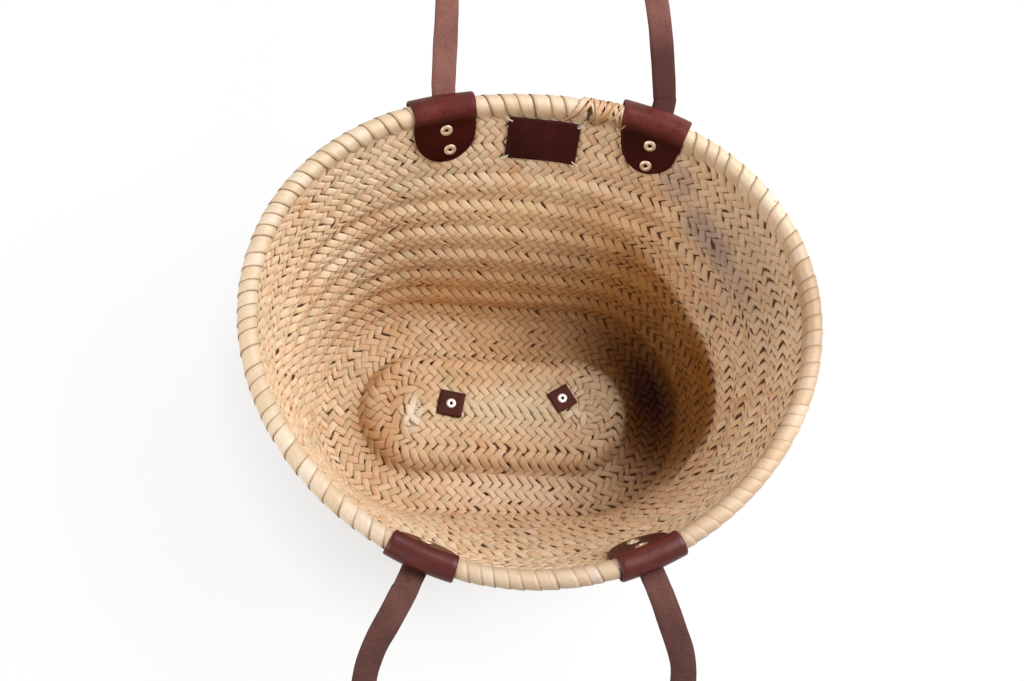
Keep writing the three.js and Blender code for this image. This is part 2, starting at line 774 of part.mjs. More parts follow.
const stitches = [];
for (const [i, j] of [[-1, 0], [1, 0], [-1, 1], [1, 1]]) {
  const across = i * (labelWidth / 2 - stitchInset);
  const drop = labelLevel(across, stitchInset + j * (labelHeight - 2 * stitchInset));
  const seat = placeOnWall(labelSpot, across, drop, -labelOffset);
  const { along, up, out } = seat.frame;
  const lean = along.clone().addScaledVector(up, i * (j === 0 ? -1 : 1)).normalize();
  const beside = out.clone().cross(lean);
  stitches.push({ point: seat.point, out, lean, beside });
}
const stitchBore = threadWidth + 2 * clearance;
const stitchHoles = stitches.map(({ point, out, lean, beside }) => (
  box(point, lean, beside, out, [stitchLength + 2 * clearance, stitchBore, 4 * labelThickness])
));
const labelBlank = sheet(labelGrid(labelOffset), labelGrid(labelOffset - labelThickness));
add('label', cut(labelBlank, stitchHoles), leather);
stitches.forEach(({ point, out, lean, beside }, i) => {
  const depth = labelThickness + threadWidth;
  const centre = point.clone().addScaledVector(out, depth / 2 - threadWidth);
  add(`label_stitch_${i + 1}`, box(centre, lean, beside, out, [stitchLength, threadWidth, depth]), thread);
});

// Base squares, pads, rivets and washers
const vertical = new THREE.Vector3(0, 0, 1);
for (const [name, { side, x, y, turn }] of Object.entries(baseSquares)) {
  const across = new THREE.Vector3(Math.cos(turn * radians), Math.sin(turn * radians), 0);
  const beside = vertical.clone().cross(across);
  const sizes = [side, side, squareThickness];
  const origin = new THREE.Vector3(x, y, 0);
  const middleHole = hole(baseRivet.post, 2 * plateauTop, origin, vertical);
  const squareMiddle = new THREE.Vector3(x, y, plateauTop + clearance + squareThickness / 2);
  const padMiddle = new THREE.Vector3(x, y, plateauRise - clearance - squareThickness / 2);
  add(`base_square_${name}`, cut(box(squareMiddle, across, beside, vertical, sizes), [middleHole]), leather);
  add(`base_pad_${name}`, cut(box(padMiddle, across, beside, vertical, sizes), [middleHole]), leather);
  const down = new THREE.Vector3(0, 0, -1);
  const headFace = -(plateauTop + 2 * clearance + squareThickness + baseRivet.headHeight);
  const washerLow = -(plateauRise - 2 * clearance - squareThickness);
  const rolledFace = washerLow + washerThickness + clearance + baseRivet.rolledHeight;
  add(`base_rivet_${name}`, turned(rivetProfile(baseRivet, headFace, rolledFace), origin, down), brass);
  add(`base_washer_${name}`, turned(washerProfile(baseRivet, washerLow), origin, down), brass);
}

// The frame stands on the floor under the middle of the whole object
const extent = new THREE.Box3().setFromObject(basket);
for (const mesh of basket.children) {
  mesh.geometry.translate(-(extent.min.x + extent.max.x) / 2, -(extent.min.y + extent.max.y) / 2, 0);
}

export default basket;
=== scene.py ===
import math
import bpy
import numpy as np
from mathutils import Matrix, Vector

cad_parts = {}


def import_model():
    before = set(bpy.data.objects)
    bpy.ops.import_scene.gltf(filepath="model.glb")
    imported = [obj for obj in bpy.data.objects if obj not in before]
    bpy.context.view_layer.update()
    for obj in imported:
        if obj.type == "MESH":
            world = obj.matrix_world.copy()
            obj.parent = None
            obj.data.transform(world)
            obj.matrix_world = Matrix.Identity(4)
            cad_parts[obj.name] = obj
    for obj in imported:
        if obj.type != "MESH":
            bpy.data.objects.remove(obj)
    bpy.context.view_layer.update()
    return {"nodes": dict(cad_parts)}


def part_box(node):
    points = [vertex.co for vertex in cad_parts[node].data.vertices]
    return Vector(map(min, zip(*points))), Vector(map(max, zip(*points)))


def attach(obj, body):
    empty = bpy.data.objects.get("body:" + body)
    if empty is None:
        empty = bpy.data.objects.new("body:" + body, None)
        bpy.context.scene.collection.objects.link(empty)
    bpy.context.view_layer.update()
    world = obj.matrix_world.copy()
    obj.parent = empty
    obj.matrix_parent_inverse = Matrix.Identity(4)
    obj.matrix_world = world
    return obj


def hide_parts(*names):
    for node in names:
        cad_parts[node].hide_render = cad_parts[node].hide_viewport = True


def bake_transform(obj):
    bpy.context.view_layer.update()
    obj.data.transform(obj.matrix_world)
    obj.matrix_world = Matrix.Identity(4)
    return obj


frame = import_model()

MM = 0.001
rng = np.random.default_rng(7)

# --- the part's own numbers, in millimetres
PLAIT, COURSE = 5.0, 31.0
HALF = PLAIT / 2
STRAIGHT = 74.0
PLATEAU_EDGE, PLATEAU_RISE, PLATEAU_SLOPE = 62.0, 12.0, 18.0
RING_REACH = PLATEAU_EDGE + COURSE
CORNER_REACH, CORNER_HEIGHT = 16.0, 22.0
FOOT_REACH = RING_REACH + CORNER_REACH
COURSES = 9
RIM_HEIGHT = 256.0
FLARE, FLARE_SWING = 1.12, 0.18
RIM_RADIUS, RIM_OVAL, RIM_OVAL_TURN, RIM_EGG = 220.7, 15.2, math.radians(4.7), 5.0
RIM_SHIFT = (5.0, 13.0)
TAB_THICK, TAB_HALF, TAB_STRAIGHT, TAB_ROLL, TAB_OFFSET, TAB_EASE = 2.2, 28.0, 20.0, 9.1, 4.2, 13.0
TABS = {
    "front_left": dict(angle=244.1, reach=53, narrow=0, lean=0, rivet_lean=0, proud=1.5, exit=0),
    "front_right": dict(angle=298.4, reach=53, narrow=0, lean=0, rivet_lean=0, proud=1.5, exit=-5),
    "back_left": dict(angle=110.8, reach=53, narrow=0, lean=0, rivet_lean=-0.12, proud=5, exit=-5.5),
    "back_right": dict(angle=61.3, reach=49, narrow=0.12, lean=-0.1, rivet_lean=-0.16, proud=11, exit=-5),
}
STRAP_WIDTH, STRAP_THICK, STRAP_DROP, TWIST_DROP = 21.0, 2.6, 47.0, 14.0
HINGE_LIFT, HINGE_GAP = 1.0, 1.4
LOOPS = {
    "front": dict(reach=229, left=25, right=23, start=9, end=-50, settle=30, outward=1),
    "back": dict(reach=250, left=0, right=-6, start=36, end=-38, settle=140, outward=-1),
}
LOOP_LEAD, TWIST_START = 16.0, 20.0
RIVET_DROPS = {"upper": 19, "lower": 40}
CLEAR = 0.35
LABEL_W, LABEL_H, LABEL_THICK, LABEL_TURN, LABEL_DROP, LABEL_TILT = 65.0, 43.0, 1.8, 86, 13.7, 0.06
SQUARE_THICK = 2.0
SQUARES = {"left": (25.0, -46, 5, -10), "right": (22.5, 65, 14, 32)}

# Middle of the base in the frame: the base plait is the same on both sides of it
base_low, base_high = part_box("base_plait")
SHIFT = np.array([(base_low.x + base_high.x) / 2, (base_low.y + base_high.y) / 2, 0]) / MM

# Share of a turn that each straight side and each round end takes
SIDE_SHARE = math.atan(STRAIGHT / FOOT_REACH) / math.pi
END_SHARE = 0.5 - SIDE_SHARE


# --- the wall and base as surfaces
def smooth(x):
    s = np.clip(x, 0, 1)
    return s * s * (3 - 2 * s)


def oval_point(turn, offset):
    """Plan of a long oval: half circles of a radius offset round both ends of a straight, and its two sides."""
    turn, offset = np.broadcast_arrays(np.asarray(turn, float), np.asarray(offset, float))
    u = turn - np.floor(turn + END_SHARE / 2)
    right = u < END_SHARE / 2
    back = ~right & (u < END_SHARE / 2 + SIDE_SHARE)
    left = ~right & ~back & (u < 1.5 * END_SHARE + SIDE_SHARE)
    angle = np.where(right, u / END_SHARE * np.pi,
                     (u - END_SHARE / 2 - SIDE_SHARE) / END_SHARE * np.pi + np.pi / 2)
    way = np.where(back, (u - END_SHARE / 2) / SIDE_SHARE, (u - 1.5 * END_SHARE - SIDE_SHARE) / SIDE_SHARE)
    x = np.where(right, STRAIGHT + offset * np.cos(angle),
                 np.where(back, STRAIGHT * (1 - 2 * way),
                          np.where(left, -STRAIGHT + offset * np.cos(angle), -STRAIGHT * (1 - 2 * way))))
    y = np.where(right | left, offset * np.sin(angle), np.where(back, offset, -offset))
    return np.stack([x, y], -1)


def rim_point(turn):
    """Plan of the rim: nearly round, a little oval and egg-shaped, and off the middle of the base."""
    foot = oval_point(turn, FOOT_REACH)
    angle = np.arctan2(foot[..., 1], foot[..., 0])
    radius = RIM_RADIUS + RIM_OVAL * np.cos(2 * (angle - RIM_OVAL_TURN)) + RIM_EGG * np.sin(3 * angle)
    return np.stack([RIM_SHIFT[0] + radius * np.cos(angle), RIM_SHIFT[1] + radius * np.sin(angle)], -1)


def plateau_height(offset):
    return PLATEAU_RISE * (1 - smooth((offset - PLATEAU_EDGE + PLATEAU_SLOPE) / PLATEAU_SLOPE))


def middle(turn, course):
    """Middle surface of the plait. course is -3 in the middle of the base, 0 where the wall starts, 9 at the rim."""
    turn, course = np.broadcast_arrays(np.asarray(turn, float), np.asarray(course, float))
    base_offset = RING_REACH + COURSE * np.minimum(course, 0)
    bend = np.clip(course, 0, 1) * np.pi / 2
    plan = oval_point(turn, base_offset + CORNER_REACH * np.sin(bend))
    height = HALF + plateau_height(base_offset) + CORNER_HEIGHT * (1 - np.cos(bend))
    climb = np.clip((course - 1) / (COURSES - 1), 0, 1.2)
    foot = oval_point(turn, FOOT_REACH)
    power = FLARE + FLARE_SWING * foot[..., 1] / np.linalg.norm(foot, axis=-1)
    share = np.where(climb > 0, np.maximum(climb, 1e-12) ** power, 0)[..., None]
    wall_plan = foot * (1 - share) + rim_point(turn) * share
    wall_height = HALF + CORNER_HEIGHT + (RIM_HEIGHT - HALF - CORNER_HEIGHT) * climb
    on_wall = course > 1
    plan = np.where(on_wall[..., None], wall_plan, plan)
    return np.concatenate([plan, np.where(on_wall, wall_height, height)[..., None]], -1)


def unit(v):
    return v / np.maximum(np.linalg.norm(v, axis=-1, keepdims=True), 1e-12)


def dot(a, b):
    return (a * b).sum(-1)


def travelled(points):
    """Length of a row of points up to each of them."""
    return np.concatenate([[0], np.cumsum(np.linalg.norm(np.diff(points, axis=0), axis=1))])


def surface(turn, course):
    """Point, directions along, out of and up the plait, its slant, and millimetres per turn and per course."""
    step = 1e-4
    along = middle(turn + step, course) - middle(turn - step, course)
    rise = middle(turn, course + step * 9) - middle(turn, course - step * 9)
    spread = np.linalg.norm(along, axis=-1) / (2 * step)
    out = unit(np.cross(along, rise))
    along = unit(along)
    up = np.cross(out, along)
    climb = dot(rise, up)
    return dict(point=middle(turn, course), along=along, out=out, up=up, spread=spread,
                slant=dot(rise, along) / climb, climb=climb / (2 * step * 9))


def course_below_rim(turn, drop):
    """The course that lies a drop in millimetres below the rim, found in small steps."""
    steps = 8
    course = np.full(np.shape(turn), float(COURSES))
    for _ in range(steps):
        half = course - drop / steps / 2 / surface(turn, course)["climb"]
        course = course - drop / steps / surface(turn, half)["climb"]
    return course


def turn_at_angle(degrees):
    """The turn at which the rim lies at an angle from the frame's x axis."""
    low, high = degrees / 360 - 0.15, degrees / 360 + 0.15
    for _ in range(40):
        mid = (low + high) / 2
        rim = rim_point(mid)
        gap = math.atan2(rim[1], rim[0]) - math.radians(degrees)
        if math.atan2(math.sin(gap), math.cos(gap)) > 0:
            high = mid
        else:
            low = mid
    return (low + high) / 2


def on_wall(turn, across, drop, offset=0.0, tilt=0.0):
    """Point a drop below the rim roll, a distance across and an offset out of the wall, as part.mjs places it."""
    across, drop, offset, tilt = np.broadcast_arrays(*[np.asarray(v, float) for v in (across, drop, offset, tilt)])
    low = np.maximum(drop, 0)
    turns = np.full(across.shape, float(turn))
    level = course_below_rim(turns, low)
    square = surface(turns, np.full(across.shape, float(COURSES)))["slant"] * low
    shifted = turn + (across + square) / surface(turns, level)["spread"]
    at = surface(shifted, course_below_rim(shifted, low))
    point = at["point"] + at["out"] * offset[..., None] + at["up"] * np.maximum(-drop, 0)[..., None]
    normal = at["out"] * np.cos(tilt)[..., None] + at["up"] * np.sin(tilt)[..., None]
    return point, normal, at


# --- making objects
def placed(name, data):
    obj = bpy.data.objects.new(name, data)
    bpy.context.scene.collection.objects.link(obj)
    return obj


def make(name, points, faces, material, replaced=(), attributes=None, body="basket"):
    """A piece from points in the part's millimetres, its body and the CAD nodes that it replaces."""
    mesh = bpy.data.meshes.new(name)
    mesh.from_pydata(((np.asarray(points) + SHIFT) * MM).tolist(), [], faces)
    mesh.validate()
    for key, values in (attributes or {}).items():
        kind, field = ("FLOAT_VECTOR", "vector") if np.ndim(values) == 2 else ("FLOAT", "value")
        attribute = mesh.attributes.new(key, kind, "POINT")
        attribute.data.foreach_set(field, np.asarray(values, np.float32).ravel())
    mesh.materials.append(material)
    mesh.polygons.foreach_set("use_smooth", [True] * len(mesh.polygons))
    obj = placed(name, mesh)
    if body:
        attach(obj, body)
    if replaced:
        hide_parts(*replaced)
    return obj


def grid_faces(rows, columns, closed_rows=False, closed_columns=False, start=0):
    i = np.arange(rows if closed_rows else rows - 1)
    j = np.arange(columns if closed_columns else columns - 1)
    i, j = np.meshgrid(i, j, indexing="ij")
    k, l = (i + 1) % rows, (j + 1) % columns
    quads = np.stack([i * columns + j, k * columns + j, k * columns + l, i * columns + l], -1)
    return quads.reshape(-1, 4) + start


# --- node materials
def srgb(r, g, b):
    def linear(c):
        c /= 255
        return c / 12.92 if c <= 0.04045 else ((c + 0.055) / 1.055) ** 2.4
    return (linear(r), linear(g), linear(b), 1)


class Nodes:
    """Short calls for the nodes of one material or world."""

    def __init__(self, name, owners=bpy.data.materials, shader="Principled BSDF"):
        self.owner = owners.new(name)
        self.owner.use_nodes = True
        self.tree = self.owner.node_tree
        self.shader = self.tree.nodes[shader]

    def feed(self, socket, value):
        if isinstance(value, bpy.types.NodeSocket):
            self.tree.links.new(value, socket)
        else:
            socket.default_value = value

    def add(self, kind, inputs=(), **settings):
        node = self.tree.nodes.new(kind)
        for key, value in settings.items():
            setattr(node, key, value)
        for key, value in dict(inputs).items():
            self.feed(node.inputs[key], value)
        return node

    def shade(self, **inputs):
        """Feeds the shader's inputs and returns the finished material or world."""
        for key, value in inputs.items():
            self.feed(self.shader.inputs[key.replace("_", " ")], value)
        return self.owner

    def attribute(self, name, output="Fac"):
        return self.add("ShaderNodeAttribute", attribute_name=name).outputs[output]

    def math(self, kind, a, b=0.0):
        return self.add("ShaderNodeMath", {0: a, 1: b}, operation=kind).outputs[0]

    def spread(self, value, low, high, to_low=0.0, to_high=1.0):
        ends = {"Value": value, "From Min": low, "From Max": high, "To Min": to_low, "To Max": to_high}
        return self.add("ShaderNodeMapRange", ends).outputs[0]

    def mix(self, factor, a, b, blend="MIX"):
        # Sockets 6, 7 and output 2 are the ones for colours
        return self.add("ShaderNodeMix", {0: factor, 6: a, 7: b}, data_type="RGBA", blend_type=blend).outputs[2]

    def tinted(self, colour, value, low, high, strength, tone):
        """The colour, mixed towards a tone by up to strength where the value runs from low to high."""
        return self.mix(self.spread(value, low, high, 0.0, strength), colour, srgb(*tone))

    def ramp(self, factor, *stops):
        node = self.add("ShaderNodeValToRGB", {0: factor})
        elements = node.color_ramp.elements
        while len(elements) < len(stops):
            elements.new(0.5)
        for element, (position, tone) in zip(elements, stops):
            element.position, element.color = position, srgb(*tone)
        return node.outputs[0]

    def place(self, scale=(1, 1, 1)):
        return self.scaled(self.add("ShaderNodeTexCoord").outputs["Object"], scale)

    def scaled(self, vector, scale):
        return self.add("ShaderNodeMapping", {"Vector": vector, "Scale": scale}).outputs[0]

    def noise(self, vector, scale, detail, roughness=0.5):
        inputs = {"Vector": vector, "Scale": scale, "Detail": detail, "Roughness": roughness}
        return self.add("ShaderNodeTexNoise", inputs).outputs["Fac"]

    def bump(self, height, strength, distance, **under):
        inputs = {"Height": height, "Strength": strength, "Distance": distance, **under}
        return self.add("ShaderNodeBump", inputs).outputs[0]


def palm_material(name, lift=1.0, warmth=0.0, stains_and_painted_light=(), mixed=1.0, edge_shade=0.42, rough=0.48, shine=0.22):
    """Dried palm leaf: every strand has a tint of its own and fibres along it, and its edges and ends are darkened as
    painted shade where it meets its neighbours and passes under them.

    The attribute strand holds the way across and along a strand in millimetres and its chance number,
    the second attribute how much painted shade and how much painted shadow of the dark pocket lie there. The list of
    places gives stains, tones, painted shade and painted light by centre, size along x, y and z, how ragged, how strong
    and the colour.
    """
    n = Nodes(name)
    strand = n.attribute("strand", "Vector")
    across, length, chance = n.add("ShaderNodeSeparateXYZ", {0: strand}).outputs
    place = n.place()
    cloud = n.noise(place, 13.0, 3.0)
    tint = n.math("ADD", n.math("MULTIPLY", chance, 0.52), n.math("MULTIPLY", cloud, 0.62))
    colour = n.ramp(tint, (0.16, (202, 156, 112)), (0.30, (216, 176, 136)), (0.44, (226, 192, 156)),
                    (0.56, (234, 206, 174)), (0.68, (226, 200, 164)), (0.80, (240, 216, 188)), (0.95, (248, 232, 210)))
    odd = n.add("ShaderNodeTexWhiteNoise", {"Vector": n.scaled(strand, (0, 0, 977.0))}).outputs[0]
    fibres = n.noise(n.scaled(strand, (3.2, 0.16, 41.0)), 1.0, 3.0, 0.6)
    pale = n.noise(n.scaled(strand, (5.1, 0.11, 77.0)), 1.0, 2.0)
    for value, low, high, strength, tone in (
            (odd, 0.84, 0.90, 0.6 * mixed, (196, 182, 146)), (odd, 0.07, 0.05, 0.4 * mixed, (222, 180, 150)),
            (n.noise(place, 3.2, 2.0), 0.48, 0.70, 0.34 + warmth, (208, 152, 96)),
            (fibres, 0.38, 0.74, 0.34, (176, 128, 84)), (pale, 0.55, 0.75, 0.35, (244, 226, 196)),
            # Painted shade: the strand darker at its edges and at its ends, where it meets its neighbours and passes
            # under them
            (n.math("ABSOLUTE", across), 2.9, 3.6, edge_shade, (148, 100, 58)),
            (n.math("ABSOLUTE", length), 5.0, 8.2, 0.55, (128, 84, 48))):
        colour = n.tinted(colour, value, low, high, strength, tone)
    # Painted shade, golden and dark, in the deep end and round the raised middle, and a painted shadow in the darkest
    # pocket
    shade_share, pocket, _ = n.add("ShaderNodeSeparateXYZ", {0: n.attribute("painted_shade", "Vector")}).outputs
    shade_share = n.math("MULTIPLY", shade_share, n.spread(cloud, 0.3, 0.7, 1.0, 0.92))
    colour = n.mix(shade_share, colour, (0.31, 0.158, 0.014, 1), "MULTIPLY")
    colour = n.mix(pocket, colour, (0.17, 0.055, 0.12, 1), "MULTIPLY")
    for centre, size, ragged, strong, tone in stains_and_painted_light:
        scale = [1 / s for s in size]
        ends = {0: n.scaled(place, scale), 1: [c * k for c, k in zip(centre, scale)]}
        far = n.add("ShaderNodeVectorMath", ends, operation="DISTANCE").outputs["Value"]
        far = n.math("ADD", far, n.math("MULTIPLY", n.noise(place, 15.0, 3.0), ragged))
        colour = n.tinted(colour, far, 1.0 + ragged / 2, 0.3 + ragged / 2, strong, tone)
    colour = n.mix(1.0, colour, (lift, lift, lift, 1), "MULTIPLY")
    return n.shade(Base_Color=colour, Roughness=n.spread(fibres, 0.2, 0.8, rough, rough + 0.24),
                   Normal=n.bump(fibres, 0.55, 0.0005), Specular_IOR_Level=shine)


def leather_material(name, dark, light, rough, grain_scale=900.0, wear_and_sheen=None, shine=0.12):
    """Smooth leather: clouded, with pores and fine creases, and lighter where the attribute says so: partly wear,
    partly painted sheen.
    """
    n = Nodes(name)
    place = n.place()
    cells = n.add("ShaderNodeTexVoronoi", {"Vector": place, "Scale": grain_scale}, feature="DISTANCE_TO_EDGE")
    pores = n.noise(place, grain_scale * 1.7, 2.0)
    cloud = n.noise(place, 22.0, 4.0, 0.6)
    colour = n.mix(n.spread(cloud, 0.35, 0.68), srgb(*dark), srgb(*light))
    colour = n.tinted(colour, n.noise(place, 130.0, 3.0, 0.6), 0.45, 0.75, 0.3, light)
    # Lighter where the attribute says so: partly wear, partly painted sheen on the fold
    if wear_and_sheen is not None:
        patches = n.spread(n.noise(place, 60.0, 4.0), 0.25, 0.7, 0.45, 1.0)
        colour = n.tinted(colour, n.math("MULTIPLY", n.attribute("wear_and_sheen"), patches), 0.0, 1.0, 0.75, wear_and_sheen)
    scuffs = n.add("ShaderNodeTexWave", {"Vector": place, "Scale": 34.0, "Distortion": 14.0, "Detail": 3.0,
                                         "Detail Scale": 2.2})
    crease = n.spread(scuffs.outputs["Fac"], 0.93, 1.0, 0.0, 0.35)
    colour = n.mix(crease, colour, srgb(*dark))
    normal = n.bump(cells.outputs["Distance"], 0.30, 0.0003)
    normal = n.bump(pores, 0.15, 0.0002, Normal=normal)
    normal = n.bump(crease, 0.25, -0.0004, Normal=normal)
    return n.shade(Base_Color=colour, Roughness=n.spread(cloud, 0.3, 0.7, rough - 0.06, rough + 0.08), Normal=normal,
                   Specular_IOR_Level=shine)


def suede_material(name, lift):
    """Flesh side of a strap: short nap, darker specks, and the smooth dark grain side where the attribute says so."""
    n = Nodes(name)
    place = n.place()
    nap = n.noise(place, 800.0, 3.0, 0.7)
    cloud = n.spread(n.noise(place, 30.0, 4.0, 0.6), 0.3, 0.7)
    flesh = n.mix(cloud, srgb(98, 56, 48), srgb(134, 86, 77))
    flesh = n.tinted(flesh, nap, 0.38, 0.66, 0.5, (160, 112, 102))
    flesh = n.tinted(flesh, n.noise(place, 420.0, 2.0), 0.66, 0.78, 0.6, (58, 28, 24))
    flesh = n.mix(n.attribute("dark"), flesh, srgb(72, 36, 32))
    side = n.attribute("side")
    colour = n.mix(side, flesh, n.mix(cloud, srgb(62, 26, 24), srgb(84, 40, 36)))
    colour = n.mix(1.0, colour, (lift, lift, lift, 1), "MULTIPLY")
    colour = n.mix(n.math("MULTIPLY", n.attribute("edge"), 0.65), colour, srgb(52, 24, 20))
    return n.shade(Base_Color=colour, Roughness=n.spread(side, 0.0, 1.0, 0.86, 0.45),
                   Normal=n.bump(nap, 0.5, 0.0004), Specular_IOR_Level=0.25)


def metal_material(name, low, high):
    n = Nodes(name)
    place = n.place()
    wear = n.noise(place, 600.0, 3.0)
    colour = n.mix(n.spread(n.noise(place, 160.0, 3.0), 0.35, 0.7), srgb(*low), srgb(*high))
    return n.shade(Base_Color=colour, Metallic=0.7, Roughness=n.spread(wear, 0.3, 0.75, 0.28, 0.5),
                   Normal=n.bump(wear, 0.2, 0.0001))


def patterned_material(n, pattern, low, high, rough, strength, depth):
    """Plain material whose two colours and bump follow one pattern."""
    return n.shade(Base_Color=n.ramp(pattern, low, high), Roughness=rough, Normal=n.bump(pattern, strength, depth))


# Dark for the plait's middle layer: partly the inner leaf's own tone, partly painted shade in the slots
def slot_shade_material():
    n = Nodes("plait_core_slot_shade")
    grain = n.noise(n.place(), 220.0, 3.0)
    return patterned_material(n, grain, (0.3, (52, 30, 14)), (0.7, (104, 68, 36)), 0.9, 0.4, 0.0006)


def thread_material():
    n = Nodes("thread")
    twist = n.add("ShaderNodeTexWave", {"Vector": n.place(), "Scale": 900.0, "Distortion": 3.0}).outputs["Fac"]
    return patterned_material(n, twist, (0.0, (196, 184, 158)), (1.0, (240, 234, 216)), 0.8, 0.5, 0.0003)


def fibre_material():
    n = Nodes("palm_fibre")
    strands = n.noise(n.place((40, 40, 900)), 1.0, 4.0, 0.7)
    return patterned_material(n, strands, (0.25, (112, 84, 48)), (0.75, (176, 146, 98)), 0.9, 0.7, 0.001)


# Places where the inside's leaf is stained or has its own tone, and where shade and light are painted on, as
# palm_material takes them
INSIDE_STAINS_AND_PAINTED_LIGHT = [
    # Painted shade on the lower back wall, golden
    ((-0.02, 0.045, 0.045), (0.17, 0.10, 0.08), 0.5, 0.42, (220, 162, 94)),
    # Painted light: the middle of the back wall made paler
    ((-0.01, 0.125, 0.130), (0.17, 0.06, 0.07), 0.5, 0.55, (250, 214, 166)),
    # Painted shade in the back right corner
    ((0.115, 0.080, 0.120), (0.10, 0.08, 0.12), 0.5, 0.42, (190, 132, 70)),
    # Orange leaves at the left end of the raised middle, partly painted shade
    ((-0.116, -0.060, 0.012), (0.040, 0.070, 0.030), 0.5, 0.55, (186, 138, 88)),
    ((0.010, -0.046, 0.018), (0.100, 0.032, 0.020), 0.4, 0.45, (228, 216, 184)),
    ((-0.089, -0.056, 0.020), (0.013, 0.024, 0.020), 0.3, 0.80, (242, 230, 208)),
    # Painted light: the front of the ring round the raised middle made paler
    ((0.020, -0.126, 0.003), (0.110, 0.030, 0.015), 0.4, 0.50, (244, 220, 194)),
    # Pinkish grey leaf on the upper right wall, partly painted shade
    ((0.200, 0.040, 0.190), (0.080, 0.120, 0.085), 0.5, 0.60, (174, 146, 122)),
    ((0.135, 0.117, 0.213), (0.024, 0.024, 0.026), 0.9, 0.50, (142, 124, 120)),
    ((0.160, 0.087, 0.190), (0.026, 0.026, 0.026), 0.9, 0.62, (140, 122, 118)),
    ((0.181, 0.068, 0.182), (0.026, 0.026, 0.026), 0.9, 0.62, (140, 122, 118)),
    ((0.203, 0.043, 0.175), (0.026, 0.028, 0.026), 0.9, 0.50, (142, 124, 118)),
    ((0.218, 0.018, 0.170), (0.024, 0.028, 0.026), 0.9, 0.36, (146, 128, 120)),
]
# Painted shade on the rim's right side, on its outer edge there, and on its near side
RIM_PAINTED_SHADE = [((0.22, -0.14, 0.256), (0.20, 0.27, 0.08), 0.4, 0.42, (190, 148, 108)),
            ((0.258, 0.02, 0.250), (0.05, 0.24, 0.05), 0.4, 0.75, (150, 108, 72)),
            ((0.02, -0.20, 0.256), (0.19, 0.09, 0.06), 0.4, 0.60, (190, 158, 134))]
palm = palm_material("palm_plait", stains_and_painted_light=INSIDE_STAINS_AND_PAINTED_LIGHT)
palm_outside = palm_material("palm_plait_outside", lift=0.94, warmth=0.1)
wrap_leaf = palm_material("palm_wrap", lift=0.93, warmth=-0.3, stains_and_painted_light=RIM_PAINTED_SHADE, mixed=0.0, edge_shade=0.85,
                          rough=0.34, shine=0.5)
dark = slot_shade_material()
# The back tabs' copy of the leather is darker than the front tabs' copy: painted shade
tab_leather = leather_material("tab_leather", (40, 4, 1), (62, 12, 7), 0.45, wear_and_sheen=(118, 54, 47))
front_leather = leather_material("front_tab_leather", (52, 9, 5), (74, 18, 12), 0.36, wear_and_sheen=(114, 48, 40), shine=0.28)
label_leather = leather_material("label_leather", (42, 10, 8), (66, 22, 18), 0.46, 1100.0)
square_leather = leather_material("square_leather", (60, 20, 17), (90, 42, 36), 0.5, 800.0)
# The front straps' copy is darkened to 0.58 as painted shade, the back straps' to 0.92
suede = {"front": suede_material("front_strap_leather_painted_shade", 0.58), "back": suede_material("back_strap_leather", 0.92)}
metal = metal_material("rivet_metal", (204, 178, 148), (232, 212, 186))
silver = metal_material("base_rivet_metal", (206, 202, 198), (240, 238, 234))
thread = thread_material()
fibre = fibre_material()


# --- the plait: one strip wound from the base to the rim
# Where the strip starts, as a turn and as the course of its lower edge, and how often it goes round
START_TURN, FIRST_COURSE = 0.5, -4
WINDINGS = 12.9
ROWS = 4
PERIOD = 9.9
# One stretch of strand: half its length and width, height of its ends, rise of its arch, fall to its sides and edges
FLOAT_LONG, FLOAT_WIDE, FLOAT_LOW, FLOAT_ARCH, FLOAT_FALL, FLOAT_EDGE = 5.5, 3.5, 0.9, 1.85, 0.68, 1.5
INNER_RADIUS = 12.0
CREST = 0.72
BASE_ROLL = 2.4
# Where the most leaves have shrunk, as a turn, the share of shrunk ones elsewhere and how many more there
SHRUNK_TURN, SHRUNK, SHRUNK_MORE = 0.93, 0.18, 0.46


def winding_course(winding, share):
    """Height in courses of a point of the strip: share is 0 at its lower edge and 1 at its upper edge."""
    return FIRST_COURSE + winding + share


samples = np.linspace(0, WINDINGS, 12000)
centre = middle(samples + START_TURN, np.maximum(winding_course(samples, 0.5), -3 + INNER_RADIUS / COURSE))
way_along = travelled(centre)


def ridge(course, share):
    """How far a course stands inward: it leans in as it rises, and its upper row rolls back out to the next one."""
    reach = 0.3 + 1.6 * smooth(course + 0.2) * (1 - 0.92 * smooth((course - 6.1) / 1.0))
    within = share - np.floor(share)
    roll = BASE_ROLL * np.sin(np.pi * within) * smooth((course + 2.1) / 0.2) * (1 - smooth((course + 0.9) / 0.6))
    rise = within / CREST
    fall = smooth((within - CREST) / (1 - CREST))
    return reach * np.where(within < CREST, 2 * rise - 1, 1 - 2 * fall) + roll


def lie_on(turn, course, share, height, face):
    """Points on the inner (face -1) or outer (face 1) side of the plait, at a height over its middle surface."""
    at = surface(turn, course)
    return at["point"] + at["out"] * (face * height - ridge(course, share))[..., None]


